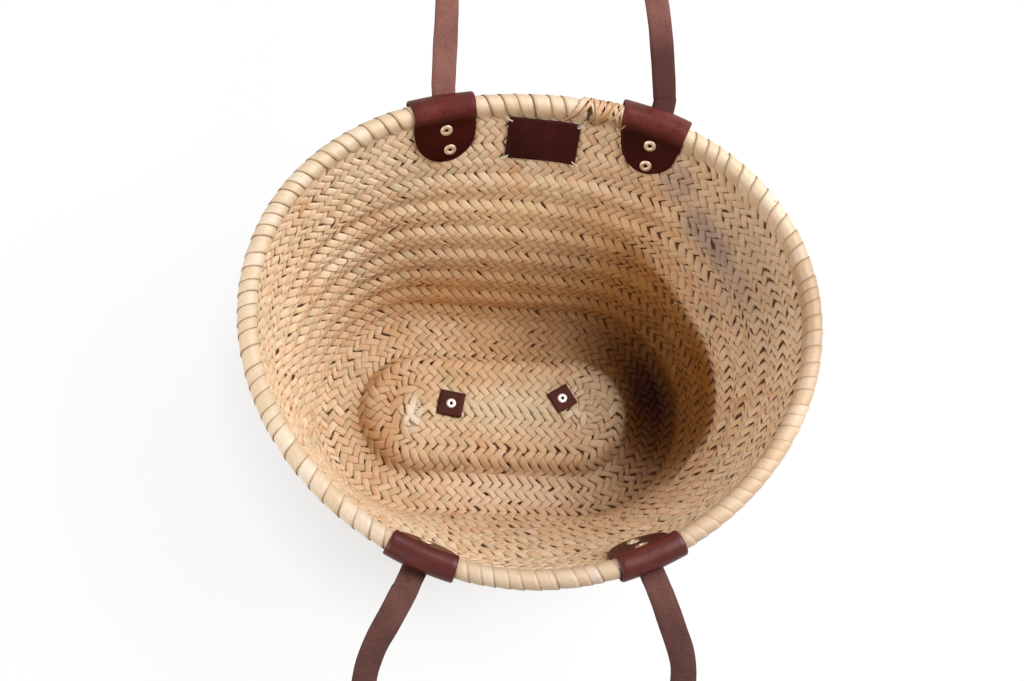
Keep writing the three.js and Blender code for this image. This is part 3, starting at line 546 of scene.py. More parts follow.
def plait_floats(face, low, high, along_steps, across_steps):
    """Every visible stretch of strand between two windings of the strip, each a closed body of its own."""
    first, last = np.interp([low, high], samples, way_along)
    n, j = np.meshgrid(np.arange(math.floor(first / PERIOD) - 1, math.ceil(last / PERIOD)), np.arange(ROWS),
                       indexing="ij")
    n, j = n.ravel(), j.ravel()
    way = (n + (j % 2) / 2) * PERIOD
    winding = np.interp(way, way_along, samples)
    course = winding_course(winding, (j + 0.5) / ROWS)
    keep = (course > -2.96) & (course < 8.97) & (way >= first) & (way < last)
    way, j, course, turn = way[keep], j[keep], course[keep], winding[keep] + START_TURN
    size = len(way)
    slant = np.where(j % 2 == 1, 1.0, -1.0)
    # One leaf runs through several floats, so neighbours along its slant share part of their tint
    leaf = np.floor(way / PERIOD - slant * (j + 0.5) * 0.5)
    leaf_tint = np.sin(leaf * 12.9898 + slant * 4.1 + 78.233) * 43758.5453 % 1.0
    # From here on each value has a place for the steps along a stretch and the points round it
    column = (size, 1, 1)
    chance = 0.45 * rng.random(column) + 0.55 * leaf_tint.reshape(column)
    wide = FLOAT_WIDE * rng.uniform(0.93, 1.0, column)
    # Here and there a leaf has shrunk away from its neighbour along one side, which leaves a long thin slot
    shrunk = SHRUNK + SHRUNK_MORE * np.clip(np.cos(2 * np.pi * (turn - SHRUNK_TURN)), 0, 1)
    slot = (rng.random(size) < shrunk) & (course > -2)
    bite = np.where(slot, rng.uniform(0.8, 2.3, size), 0.0).reshape(column)
    bitten = rng.choice([-1, 1], column)
    aside = rng.normal(0, 0.12, column)
    long = FLOAT_LONG * rng.uniform(0.97, 1.04, column)
    heading = np.pi / 4 + rng.normal(0, 0.035, column)
    way, j, slant = way.reshape(column), j.reshape(column), slant.reshape(column)
    lift = rng.uniform(-0.18, 0.12, column) + np.where(j == 3, 0.15, 0)
    lean = rng.normal(0, 0.2, column)
    ring = np.array([(-1, -FLOAT_EDGE)] + [(p, -FLOAT_FALL * p * p) for p in across_steps] + [(1, -FLOAT_EDGE)])
    p, dip = ring[None, None, :, 0], ring[None, None, :, 1]
    q = np.array(along_steps)[None, :, None]
    across = p * wide * (1 - 0.06 * np.minimum(np.abs(q), 1.3) ** 3) + aside
    across = across - p * bite * np.clip(1 - (q / 1.25) ** 2, 0, 1) * (p * bitten > 0)
    length = q * long + 0 * p
    arch = 1 - np.minimum(np.abs(q) / 1.42, 1) ** 3
    height = FLOAT_LOW + FLOAT_ARCH * arch + dip + lift * arch + lean * p
    s = length * np.cos(heading) - across * np.sin(heading)
    t = (length * np.sin(heading) + across * np.cos(heading)) * slant
    # The lean of the turn lines jumps where an end of the oval meets a straight side, so it is evened out there
    near = [surface(turn + away, course) for away in (0, -0.036, -0.024, -0.012, 0.012, 0.024, 0.036)]
    lean_share = np.mean([at["slant"] / at["spread"] for at in near], axis=0).reshape(column)
    there = np.interp(way + s, way_along, samples)
    share = (j + 0.5) / ROWS + t / COURSE
    level = winding_course(there, share)
    turns = there + START_TURN - lean_share * t
    points = lie_on(turns, level, share, height, face).reshape(-1, 3)
    steps, around = len(along_steps), len(ring)
    one = grid_faces(steps, around, closed_columns=True)[:, ::-face]
    starts = np.arange(size) * steps * around
    faces = one[None] + starts[:, None, None]
    flip = slant.ravel() < 0
    faces[flip] = faces[flip][:, :, ::-1]
    caps = []
    for start, turned_over in zip(starts, flip):
        way_round = 1 if (face > 0) == bool(turned_over) else -1
        caps.append((np.arange(around)[::way_round] + start).tolist())
        caps.append((np.arange(around)[::-way_round] + (steps - 1) * around + start).tolist())
    strand = np.stack(np.broadcast_arrays(across, length, chance), -1).reshape(-1, 3)
    # Painted shade and painted shadow only on the inside face
    shade_share = painted_shade(turns, level).reshape(-1, 3) * (face < 0)
    return points, faces.reshape(-1, 4).tolist() + caps, strand, shade_share


# Painted shade inside, in the deep right-hand end: up to which course, and how strongly, by turn
SHADE_TURN = (-0.13, -0.09, -0.064, -0.043, -0.019, 0.015, 0.066, 0.095, 0.131, 0.169, 0.206, 0.25, 0.32)
SHADE_COURSE = (0.2, 2.1, 3.0, 3.45, 3.6, 3.65, 3.65, 4.0, 4.65, 5.6, 6.1, 6.2, 6.2)
SHADE_SHARE = (0.0, 0.16, 0.58, 0.9, 1.0, 1.0, 1.0, 0.98, 0.84, 0.54, 0.52, 0.26, 0.0)
# Painted shade in the groove round the raised middle: at which course, and how strongly, by turn
GROOVE_TURN = (0.43, 0.49, 0.54, 0.60, 0.64, 0.70, 0.80, 0.87, 0.92, 0.98)
GROOVE_COURSE = (-0.92, -0.92, -0.94, -1.0, -1.1, -1.2, -1.2, -1.2, -1.2, -1.2)
GROOVE_SHARE = (0.0, 0.32, 0.46, 0.52, 0.42, 0.25, 0.34, 0.45, 0.5, 0.0)
# The painted shadow of the darkest spot, as turn and course with its reach in both, and the painted shade under the
# back wall's courses
POCKET_TURN, POCKET_COURSE, POCKET_WIDE, POCKET_HIGH = 0.025, -0.15, 0.062, 0.95
UNDER_TURN, UNDER_SHARE = 0.29, 0.30


def painted_shade(turn, course):
    """How much painted shade the leaf has, how much painted shadow of the dark pocket, and 0, as the attribute holds
    them.
    """
    way = turn - np.round(turn)
    off_base = smooth((course + 1.42) / 0.3)
    deep = smooth((np.interp(way, SHADE_TURN, SHADE_COURSE) - course) / 0.55 + 0.5)
    deep = np.interp(way, SHADE_TURN, SHADE_SHARE) * deep * off_base
    groove = np.exp(-((course - np.interp(turn % 1, GROOVE_TURN, GROOVE_COURSE)) / 0.25) ** 2)
    groove = groove * np.interp(turn % 1, GROOVE_TURN, GROOVE_SHARE)
    far = ((way - POCKET_TURN) / POCKET_WIDE) ** 2 + ((course - POCKET_COURSE) / POCKET_HIGH) ** 2
    pocket = np.exp(-far ** 1.3) * off_base
    # Painted shade on the lower edge of each course of the back wall, where the one above leans over it
    within = course - np.floor(course)
    near = np.minimum(np.abs(within - 0.06), 1 - np.abs(within - 0.06))
    under = UNDER_SHARE * np.exp(-(near / 0.17) ** 2) * smooth((course - 0.6) / 0.5) * smooth((7.4 - course) / 0.8)
    under = under * smooth((0.22 - np.abs(way - UNDER_TURN)) / 0.12)
    return np.stack([np.maximum(np.maximum(deep, groove), under), pocket, 0 * pocket], -1)


def plait_piece(name, side, low, high, replaced=()):
    face, leaf, along_steps, across_steps = side
    points, faces, strand, shade_share = plait_floats(face, low, high, along_steps, across_steps)
    make(name, points, faces, leaf, replaced, {"strand": strand, "painted_shade": shade_share})


INSIDE = -1, palm, (-1.72, -1.36, -1.0, -0.5, 0, 0.5, 1.0, 1.36, 1.72), (-1, -0.5, 0.5, 1)
OUTSIDE = 1, palm_outside, (-1.7, -1.2, -0.7, 0, 0.7, 1.2, 1.7), (-1, 0, 1)
plait_piece("plait_base_inside", INSIDE, 0.0, 4.0, ["base_plait"])
plait_piece("plait_wall_inside_low", INSIDE, 4.0, 7.2, ["wall_plait"])
plait_piece("plait_wall_inside_middle", INSIDE, 7.2, 10.2)
plait_piece("plait_wall_inside_high", INSIDE, 10.2, WINDINGS)
plait_piece("plait_outside_low", OUTSIDE, 0.0, 8.6)
plait_piece("plait_outside_high", OUTSIDE, 8.6, WINDINGS)


def plait_core():
    """The layer between the two faces: the same strip, seen only through the slots, dark there as painted shade."""
    winding = np.linspace(1.02, WINDINGS, 1200)[:, None]
    share = np.array([-0.07, 0.0, 0.25, 0.5, 0.75, 1.0, 1.07])[None, :] + 0 * winding
    level = np.minimum(winding_course(winding, share), 9.1)
    half = 0.35 + 0.7 * np.abs(2 * share - 1) ** 3
    turn = winding + START_TURN + 0 * share
    inner, outer = (lie_on(turn, level, share, half, face) for face in (-1, 1))
    ring = np.concatenate([inner, outer[:, ::-1]], axis=1)
    rows, columns = ring.shape[:2]
    faces = grid_faces(rows, columns, closed_columns=True).tolist()
    faces += [list(range(columns)), [rows * columns - 1 - i for i in range(columns)]]
    # Its start, under the middle line of the base, is covered by one oval sheet
    around = 96
    edge = oval_point(np.arange(around) / around, 30.0)
    top = np.concatenate([edge, np.full((around, 1), HALF + PLATEAU_RISE + 0.6)], 1)
    start = rows * columns
    faces += grid_faces(2, around, closed_columns=True, start=start).tolist()
    faces += [[start + i for i in range(around - 1, -1, -1)], [start + around + i for i in range(around)]]
    make("plait_core", np.concatenate([ring.reshape(-1, 3), top - [0, 0, 1.2], top]), faces, dark)


plait_core()


# --- shapes shared by the other pieces
def spline(points, count):
    """Smooth line through points, evenly spaced along its length."""
    points = np.asarray(points, float)
    ends = np.concatenate([[2 * points[0] - points[1]], points, [2 * points[-1] - points[-2]]])
    fine = []
    for i in range(1, len(points)):
        a, b, c, d = ends[i - 1], ends[i], ends[i + 1], ends[i + 2]
        t = np.linspace(0, 1, 24, endpoint=i == len(points) - 1)[:, None]
        fine.append(0.5 * (2 * b + (c - a) * t + (2 * a - 5 * b + 4 * c - d) * t ** 2
                           + (3 * b - a - 3 * c + d) * t ** 3))
    fine = np.concatenate(fine)
    way = travelled(fine[:, :3])
    at = np.linspace(0, way[-1], count)
    return np.stack([np.interp(at, way, fine[:, k]) for k in range(fine.shape[1])], -1)


def tube_faces(rows, ring):
    """Faces of a closed tube: rows of ring points each, and a cap at either end."""
    faces = grid_faces(rows, ring, closed_columns=True)[:, ::-1].tolist()
    return faces + [list(range(ring)), [rows * ring - 1 - i for i in range(ring)]]


def outward_faces(points, faces):
    """The same faces, turned so that the closed body's volume is positive."""
    points = np.asarray(points)
    total = 0.0
    for face in faces:
        a = points[face[0]]
        for i in range(1, len(face) - 1):
            total += np.dot(a, np.cross(points[face[i]], points[face[i + 1]]))
    return faces if total > 0 else [list(face)[::-1] for face in faces]


def joined(parts):
    """Several closed bodies as one set of points, faces and attributes."""
    points, faces, attributes, start = [], [], {}, 0
    for part_points, part_faces, part_attributes in parts:
        part_points = np.asarray(part_points).reshape(-1, 3)
        points.append(part_points)
        faces += [[i + start for i in face] for face in outward_faces(part_points, part_faces)]
        for key, value in part_attributes.items():
            attributes.setdefault(key, []).append(np.asarray(value))
        start += len(part_points)
    return np.concatenate(points), faces, {key: np.concatenate(value) for key, value in attributes.items()}


def make_joined(name, parts, material, replaced=()):
    points, faces, attributes = joined(parts)
    make(name, points, faces, material, replaced, attributes)


def leather_sheet(place, rows, columns, thickness):
    """Closed sheet with rounded edges. place(i, j, height) gives points for grid values and heights over the sheet."""
    i, j = np.meshgrid(np.asarray(rows, float), np.asarray(columns, float), indexing="ij")
    border = np.zeros(i.shape)
    border[0], border[-1], border[:, 0], border[:, -1] = 1, 1, 1, 1
    half = thickness / 2 * (1 - 0.62 * border)
    front, back = place(i, j, half), place(i, j, -half)
    points = np.concatenate([front.reshape(-1, 3), back.reshape(-1, 3)])
    number = np.arange(i.size).reshape(i.shape)
    faces = grid_faces(*i.shape).tolist() + (grid_faces(*i.shape)[:, ::-1] + i.size).tolist()
    ring = np.concatenate([number[:, 0], number[-1, 1:], number[-2::-1, -1], number[0, -2:0:-1]]).tolist()
    for here, after in zip(ring, ring[1:] + ring[:1]):
        faces.append([here, here + i.size, after + i.size, after])
    return points, outward_faces(points, faces)


def circle(axis, steep, count):
    """Unit circles round one or more axes. Axes steeper than the given share start from x, the others from z."""
    helper = np.where(np.abs(axis[..., 2:]) < steep, [0, 0, 1.0], [1.0, 0, 0])
    x = unit(np.cross(helper, axis))
    y = np.cross(axis, x)
    angles = (np.arange(count) * 2 * np.pi / count)[:, None]
    return np.cos(angles) * x[..., None, :] + np.sin(angles) * y[..., None, :]


def turned(profile, origin, axis):
    """Closed turned body: a ring of (radius, height) points swung about an axis."""
    segments = 36
    axis = unit(np.asarray(axis, float))
    profile = np.asarray(profile, float)
    ring = circle(axis, 0.9, segments)
    points = (origin + ring[:, None] * profile[None, :, :1] + axis * profile[None, :, 1:]).reshape(-1, 3)
    faces = grid_faces(segments, len(profile), closed_rows=True, closed_columns=True).tolist()
    return points, outward_faces(points, faces)


def thin_tube(line, radius, sides=6, count=14):
    """Closed round tube along a smooth line, a little thinner at its ends."""
    path = spline(line, count)
    taper = radius * (1 - 0.45 * np.abs(np.linspace(-1, 1, count)) ** 4)
    points = path[:, None] - circle(unit(np.gradient(path, axis=0)), 0.8, sides) * taper[:, None, None]
    return points.reshape(-1, 3), tube_faces(count, sides)


# --- rim wrap
WRAP_PITCH = 12.6
WRAP_LEAN = 9.0
WRAP_PATH = spline([(-2.2, -15.5), (-3.0, -12.5), (-4.4, -9.2), (-6.3, -5.6), (-7.5, -1.8), (-7.3, 2.2),
                    (-5.4, 5.4), (-2.2, 7.3), (2.2, 7.3), (5.4, 5.4), (7.3, 2.2), (7.5, -1.8), (6.3, -5.6),
                    (4.4, -9.2), (3.0, -12.5), (2.2, -15.5)], 23)


def wrap_spans(rim_samples, way):
    """Where each turn of the wrap lies: its middle along the rim, half its width, its lean and how far it is raised."""
    pitches = rng.uniform(0.72, 1.32, int(way[-1] / WRAP_PITCH))
    starts = (np.cumsum(pitches) - pitches / 2) / pitches.sum() * way[-1]
    turns = [(start, WRAP_PITCH * pitch * 0.5 + 1.4, WRAP_LEAN * rng.uniform(0.85, 1.15), 0.0)
             for start, pitch in zip(starts, pitches)]
    # Where the plait ends at the rim, narrow leaves are tied across one another
    low, high = np.interp([turn_at_angle(66), turn_at_angle(76)], rim_samples, way) + [-3, 3]
    turns = [turn for turn in turns if not low < turn[0] < high]
    for place in np.arange(low, high, 7.4):
        turns.append((place + rng.uniform(-1.5, 1.5), rng.uniform(2.2, 3.4), rng.uniform(6, 22),
                      rng.uniform(-0.2, 1.2)))
        turns.append((place + rng.uniform(2, 5), rng.uniform(1.8, 3.0), -rng.uniform(6, 22), rng.uniform(0.8, 2.0)))
    return turns


def wrap_turns():
    """Every turn of the wrap as a closed strip laid over the rim."""
    rim_samples = np.linspace(0, 1, 4001)
    way = travelled(middle(rim_samples, COURSES))
    along_path = np.linspace(-1, 1, len(WRAP_PATH))
    tangent = np.gradient(WRAP_PATH, axis=0)
    normal = unit(np.stack([-tangent[:, 1], tangent[:, 0]], -1))
    if normal[len(normal) // 2, 1] < 0:
        normal = -normal
    across = np.array([-1, -1, -0.55, 0, 0.55, 1, 1])
    dip = np.array([-0.75, -0.30, 0.05, 0.12, 0.16, 0.08, -0.5])
    parts = []
    for start, width, slope, raised in wrap_spans(rim_samples, way):
        half = width * (1 - 0.72 * np.abs(along_path) ** 6 * rng.uniform(0.75, 1.1))
        side = slope * along_path + rng.normal(0, 0.5)
        reach = rng.uniform(0.85, 1.12)
        sunk = -1.3 * np.abs(along_path) ** 10
        wave = rng.normal(0, 0.10, len(along_path))
        b = across[None] * half[:, None] + side[:, None]
        height = dip[None] + sunk[:, None] + wave[:, None] * (1 - np.abs(across[None])) + 0.42 * across[None] + raised
        spot = WRAP_PATH.copy()
        low = spot[:, 1] < -5
        spot[low, 1] = -5 + (spot[low, 1] + 5) * reach
        turn = np.interp((start + b) % way[-1], way, rim_samples)
        at = surface(turn, np.full(turn.shape, float(COURSES)))
        outward, upward = (spot[:, k:k + 1] + normal[:, k:k + 1] * height for k in (0, 1))
        below = surface(turn, COURSES - np.maximum(-upward, 0) / at["climb"])
        points = (below["point"] + at["out"] * outward[..., None]
                  + at["up"] * np.maximum(upward, 0)[..., None])
        chance = rng.uniform(-0.4, 0.9) if raised else rng.uniform(0.55, 0.98)
        strand = np.stack(np.broadcast_arrays(across[None] * 3.5, along_path[:, None] * 5.2, chance), -1)
        parts.append((points.reshape(-1, 3), tube_faces(len(WRAP_PATH), len(across)),
                      {"strand": strand.reshape(-1, 3)}))
    return parts


make_joined("rim_wrap_turns", wrap_turns(), wrap_leaf, ["rim_wrap"])


# --- tabs
def flap_offset(drop, proud):
    """How far a flap stands off the middle of the wall, a drop below the fold."""
    return TAB_OFFSET + (TAB_ROLL + proud - TAB_OFFSET) * (1 - smooth(drop / TAB_EASE))


def tab_rows(reach, proud):
    """Rows from the outer flap's round end, over the fold, to the inner flap's round end."""
    ends = [(TAB_STRAIGHT + (reach - TAB_STRAIGHT) * math.sin(math.radians(a)), TAB_HALF * math.cos(math.radians(a)))
            for a in (87, 83, 78, 72, 65, 57, 48, 38, 27, 14, 0)]
    ends += [(drop, TAB_HALF) for drop in (17, 13, 11, 9, 7, 5, 3.2, 1.5)]

    def flap(swell):
        rows = []
        for drop, half in ends:
            slope = (flap_offset(drop + 0.1, swell) - flap_offset(drop - 0.1, swell)) / 0.2
            rows.append((drop, half, flap_offset(drop, swell), math.atan(slope)))
        return rows

    bend = []
    for a in range(0, 181, 15):
        lean = math.radians(a)
        bend.append((-TAB_ROLL * math.sin(lean), TAB_HALF,
                     (TAB_ROLL + (proud if a < 90 else 0)) * math.cos(lean), lean))
    inner = [(drop, half, -offset, math.pi - tilt) for drop, half, offset, tilt in flap(0)]
    return np.array(flap(proud) + bend + inner[::-1])


def tab(name, spot):
    """One folded tab, its leather lighter towards the fold: partly wear, partly painted sheen."""
    rows = tab_rows(spot["reach"], spot["proud"])
    rows[:, 1] *= 1 - spot["narrow"] * smooth((rows[:, 0] - 4) / 22)
    columns = np.array([-1, -0.96, -0.85, -0.7, -0.5, -0.3, -0.1, 0.1, 0.3, 0.5, 0.7, 0.85, 0.96, 1])
    pull = rng.uniform(-0.5, 0.5, 4)

    def place(i, j, height):
        row = i.astype(int)
        drop, half, offset, tilt = (rows[row, k] for k in range(4))
        across = half * j + spot["lean"] * np.maximum(drop, 0)
        ripple = 0.25 * np.sin(j * 3 + pull[0] * 6) * smooth(-drop / 6)
        ripple += 0.2 * np.sin(j * 5.1 + drop * 0.22 + pull[1] * 8)
        point, normal, _ = on_wall(spot["turn"], across, drop, offset, tilt)
        return point + normal * (height + ripple * 0.6)[..., None]

    points, faces = leather_sheet(place, np.arange(len(rows)), columns, TAB_THICK)
    drops = np.repeat(rows[:, 0], len(columns))
    # The front tabs get less of the lighter fold, wear and painted sheen
    leather, wear = (front_leather, 0.55) if name.startswith("front") else (tab_leather, 1.0)
    wear_and_sheen = wear * smooth(1 - (np.concatenate([drops, drops]) + 2) / 14)
    make(f"leather_tab_{name}", points, faces, leather, [f"tab_{name}"], {"wear_and_sheen": wear_and_sheen})


for tab_name, tab_spot in TABS.items():
    tab_spot["turn"] = turn_at_angle(tab_spot["angle"])
    tab(tab_name, tab_spot)


# --- straps
STRAP_SEAT = TAB_THICK / 2 + CLEAR + STRAP_THICK / 2
# Two points round a strap's hinge line: way out from it, and height over it
BEND_ZONE = ((-3.7, -1.0), (12.0, 1.0))
STRAP_STEPS = 420
# The back strap's right side shows a darker part of the hide, from this share of its length on
DARK_FROM = 0.79


def hinge_point(spot, direction):
    """Where the middle of a strap leaves its tab, for a hinge line in this direction."""
    _, _, at = on_wall(spot["turn"], spot["exit"], 0)
    cross = math.sqrt(max(1 - dot(at["along"], direction) ** 2, 0))
    offset = TAB_ROLL + spot["proud"] + STRAP_SEAT + STRAP_WIDTH / 2 * cross
    return at["point"] + at["out"] * offset + at["up"] * HINGE_LIFT


def hinge_line(side):
    """A strap's two hinge points and the direction between them, which depend on each other."""
    left, right = TABS[f"{side}_left"], TABS[f"{side}_right"]
    direction = np.array([1.0, 0, 0])
    for _ in range(5):
        direction = unit(hinge_point(right, direction) - hinge_point(left, direction))
    return hinge_point(left, direction), hinge_point(right, direction), direction


def end_profiles(spot, direction, sign):
    """The stretch that lies on the outer flap, from its low end up towards the hinge."""
    lowest = -HINGE_LIFT + STRAP_THICK / 2 + HINGE_GAP
    profiles = []
    for share in (0, 0.12, 0.24, 0.36, 0.48, 0.6, 0.7, 0.78, 0.85):
        drop = STRAP_DROP + (lowest - STRAP_DROP) * share
        sideways = spot["rivet_lean"] * drop + spot["exit"] * (1 - smooth(drop / RIVET_DROPS["upper"]))
        _, _, at = on_wall(spot["turn"], sideways, drop)
        swung = 1 - smooth((drop - lowest) / (TWIST_DROP - lowest))
        hingeward = direction * np.sign(dot(at["along"], direction))
        across = unit(at["along"] * (1 - swung) + hingeward * swung)
        cross = math.sqrt(max(1 - float(dot(at["along"], across)) ** 2, 0))
        offset = flap_offset(drop, spot["proud"]) + STRAP_SEAT + STRAP_WIDTH / 2 * cross
        point = at["point"] + at["out"] * offset
        face = -unit(np.cross(across, at["up"]))
        across = across * np.sign(dot(across, direction)) * sign
        profiles.append((point, across, face))
    return profiles


def loop_half(spacing, reach, splay):
    """Half a loop laid flat: a straight that leans out by the splay, then an arc to the middle of the far end.

    Returns its length, and a function from the way along it to the distance aside, the reach and the heading.
    """
    sine, cosine = math.sin(splay), math.cos(splay)
    straight = (reach - spacing * (1 + sine) / cosine) / (cosine + sine / cosine * (1 + sine))
    radius = (spacing + straight * sine) / cosine
    arc = radius * (math.pi / 2 + splay)

    def place(way):
        if way < straight:
            return spacing + way * sine, way * cosine, splay
        heading = splay - (way - straight) / radius
        return radius * math.cos(heading), straight * cosine + radius * (sine - math.sin(heading)), heading
    return straight + arc, place


def hanging_curve(loop):
    """How a loop hangs: a function from the reach to the way out, the height and the slope."""
    steps = 400
    start, end = math.radians(loop["start"]), math.radians(loop["end"])
    reach = np.linspace(0, loop["reach"], steps + 1)
    slope = end + (start - end) * np.exp(-reach / loop["settle"])
    slope[0] = start
    step = loop["reach"] / steps
    out = np.concatenate([[0], np.cumsum(np.cos(slope[1:]) * step)])
    up = np.concatenate([[0], np.cumsum(np.sin(slope[1:]) * step)])
    return lambda r: (np.interp(r, reach, out), np.interp(r, reach, up), np.interp(r, reach, slope))


def loop_profiles(loop, hinge, sign, splay):
    """The free half of a loop, from its hinge to its middle."""
    left, right, side = hinge
    spacing = np.linalg.norm(right - left) / 2
    upward = unit(np.array([0, 0, 1.0]) - side * side[2])
    away = np.cross(upward, side) * -loop["outward"]
    length, place = loop_half(spacing, loop["reach"], math.radians(splay))
    curve = hanging_curve(loop)
    profiles = []
    for way in np.concatenate([[7.0, 11.0, LOOP_LEAD], LOOP_LEAD + (length - LOOP_LEAD) * np.arange(1, 37) / 36]):
        x, reach, heading = place(way)
        out, up, slope = curve(reach)
        point = (left + right) / 2 + side * sign * x + away * out + upward * up
        down = away * math.cos(slope) + upward * math.sin(slope)
        normal = upward * math.cos(slope) - away * math.sin(slope)
        ahead = side * sign * math.sin(heading) + down * math.cos(heading)
        inward = side * -sign * math.cos(heading) + down * math.sin(heading)
        twist = math.pi / 2 * smooth((way - TWIST_START) / (length - TWIST_START))
        face = normal * math.cos(twist) + inward * math.sin(twist)
        across = np.cross(ahead, face) * -sign * loop["outward"]
        lead = 1 - smooth(way / LOOP_LEAD)
        across = unit(across * (1 - lead) + side * sign * lead)
        profiles.append((point, across, face))
    return profiles


def strap(side):
    """One strap from end to end: two ends that lie on their tabs, and the loop between them, shaped from the line of
    its hinge points.
    """
    loop = LOOPS[side]
    hinge = hinge_line(side)
    row = []
    for sign, part in ((-1, "left"), (1, "right")):
        spot = TABS[f"{side}_{part}"]
        half = end_profiles(spot, hinge[2], sign)
        half += loop_profiles(loop, hinge, sign, loop[part])
        row += half if sign < 0 else half[:-1][::-1]
    line = spline([np.concatenate(profile) for profile in row], STRAP_STEPS)
    point, across, face = line[:, :3], unit(line[:, 3:6]), line[:, 6:]
    face = unit(face - across * dot(face, across)[:, None])
    rows = len(line)
    share = np.linspace(0, 1, rows)
    ring = np.array([(1, 0.3), (1, -0.3), (0.93, -1), (0.5, -1), (0, -1), (-0.5, -1), (-0.93, -1),
                     (-1, -0.3), (-1, 0.3), (-0.93, 1), (-0.5, 1), (0, 1), (0.5, 1), (0.93, 1)])
    taper = 1 - 0.35 * (smooth(1 - share / 0.004) + smooth(1 - (1 - share) / 0.004))
    half_width = STRAP_WIDTH / 2 * (1 + 0.012 * np.sin(share * 61) + 0.008 * np.sin(share * 143 + 1)) * taper
    sway = 0.25 * np.sin(share * 47 + 2)
    points = (point[:, None] + across[:, None] * (ring[None, :, :1] * half_width[:, None, None] + sway[:, None, None])
              + face[:, None] * ring[None, :, 1:] * STRAP_THICK / 2)
    attributes = {"side": np.tile(ring[:, 1] < -0.5, rows), "edge": np.tile(np.abs(ring[:, 0]) > 0.95, rows),
                  "dark": np.repeat(0.95 * smooth((share - DARK_FROM) / 0.07) * (side == "back"), len(ring))}
    points = points.reshape(-1, 3)
    piece = make(f"{side}_strap_whole", points, outward_faces(points, tube_faces(rows, len(ring))), suede[side],
                 [f"{side}_strap", f"strap_end_{side}_left", f"strap_end_{side}_right"],
                 attributes, body=None)
    middle_of = (hinge[0] + hinge[1]) / 2 + SHIFT
    start, end = ((middle_of + np.array([0, -away * loop["outward"], up])) * MM for away, up in BEND_ZONE)
    tuple(start)
    tuple(end)
    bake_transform(piece)


for strap_side in LOOPS:
    strap(strap_side)


# --- rivets and washers
WASHER_THICK = 1.2
HEAD_HIGH, ROLLED_HIGH = 1.2, 0.8
# Radius of a rivet's bore, head, rolled rim and post, and of its washer's hole
TAB_RIVET, BASE_RIVET = (1.9, 5.5, 4.2, 3.0, 3.35), (1.6, 5.0, 3.6, 2.5, 2.85)


def rivet_ring(bore, head, rolled, post, low, high):
    """Hollow rivet: a rounded head at the low side and a rolled rim at the high side."""
    head_top, rolled_low = low + HEAD_HIGH, high - ROLLED_HIGH
    return [(bore, low + 0.5), (bore + 0.25, low + 0.12), (bore + 0.8, low), (head - 1.5, low + 0.05),
            (head - 0.6, low + 0.3), (head - 0.1, low + 0.75), (head, head_top), (post, head_top),
            (post, rolled_low), (rolled, rolled_low), (rolled + 0.05, high - 0.35), (rolled - 0.5, high),
            (bore + 0.5, high), (bore, high - 0.5)]


def washer_ring(inner, outer, low):
    return [(inner, low), (outer, low), (outer, low + WASHER_THICK * 0.6), (outer - 0.5, low + WASHER_THICK),
            (inner + 0.3, low + WASHER_THICK), (inner, low + WASHER_THICK * 0.8)]


def rivet_and_washer(prefix, place, sizes, head_face, washer_low, origin, axis, finish):
    """A rivet whose head starts at head_face, rolled over its washer."""
    high = washer_low + WASHER_THICK + CLEAR + ROLLED_HIGH
    for kind, ring in (("rivet", rivet_ring(*sizes[:4], head_face, high)),
                       ("washer", washer_ring(sizes[4], sizes[1], washer_low))):
        points, faces = turned(ring, origin, axis)
        make(f"{prefix}{kind}_metal_{place}", points, faces, finish, [f"{prefix}{kind}_{place}"])


FLAP_INNER = TAB_OFFSET + TAB_THICK / 2 + CLEAR
STRAP_OUTER = TAB_OFFSET + STRAP_SEAT + STRAP_THICK / 2 + 2 * CLEAR
for tab_name, spot in TABS.items():
    for level_name, drop in RIVET_DROPS.items():
        origin, axis, _ = on_wall(spot["turn"], spot["rivet_lean"] * drop, drop)
        rivet_and_washer("", f"{tab_name}_{level_name}", TAB_RIVET, -FLAP_INNER - HEAD_HIGH, STRAP_OUTER,
                         origin, axis, metal)


# --- label and its threads
LABEL_SPOT = turn_at_angle(LABEL_TURN)
LABEL_OFFSET = HALF + CLEAR + LABEL_THICK / 2


def label_place(i, j, height):
    # Corners cut round, edges a little lifted
    corner = np.clip((np.abs(i) - 0.9) / 0.1, 0, 1) * np.clip((np.abs(j) - 0.94) / 0.06, 0, 1)
    across = LABEL_W / 2 * j * (1 - 0.018 * corner)
    drop = LABEL_DROP - LABEL_TILT * across + LABEL_H / 2 + LABEL_H / 2 * i * (1 - 0.03 * corner)
    lifted = 0.25 * np.sin(j * 4 + 1) * np.abs(i) + 0.35 * np.clip(-i, 0, 1) ** 3
    point, _, at = on_wall(LABEL_SPOT, across, drop, -LABEL_OFFSET)
    return point - at["out"] * (height + lifted)[..., None]


label_rows = np.array([-1, -0.95, -0.85, -0.6, -0.3, 0, 0.3, 0.6, 0.85, 0.95, 1])
label_columns = np.array([-1, -0.97, -0.9, -0.7, -0.5, -0.3, -0.1, 0.1, 0.3, 0.5, 0.7, 0.9, 0.97, 1])
label_points, label_faces = leather_sheet(label_place, label_rows, label_columns, LABEL_THICK)
make("leather_label", label_points, label_faces, label_leather, ["label"])

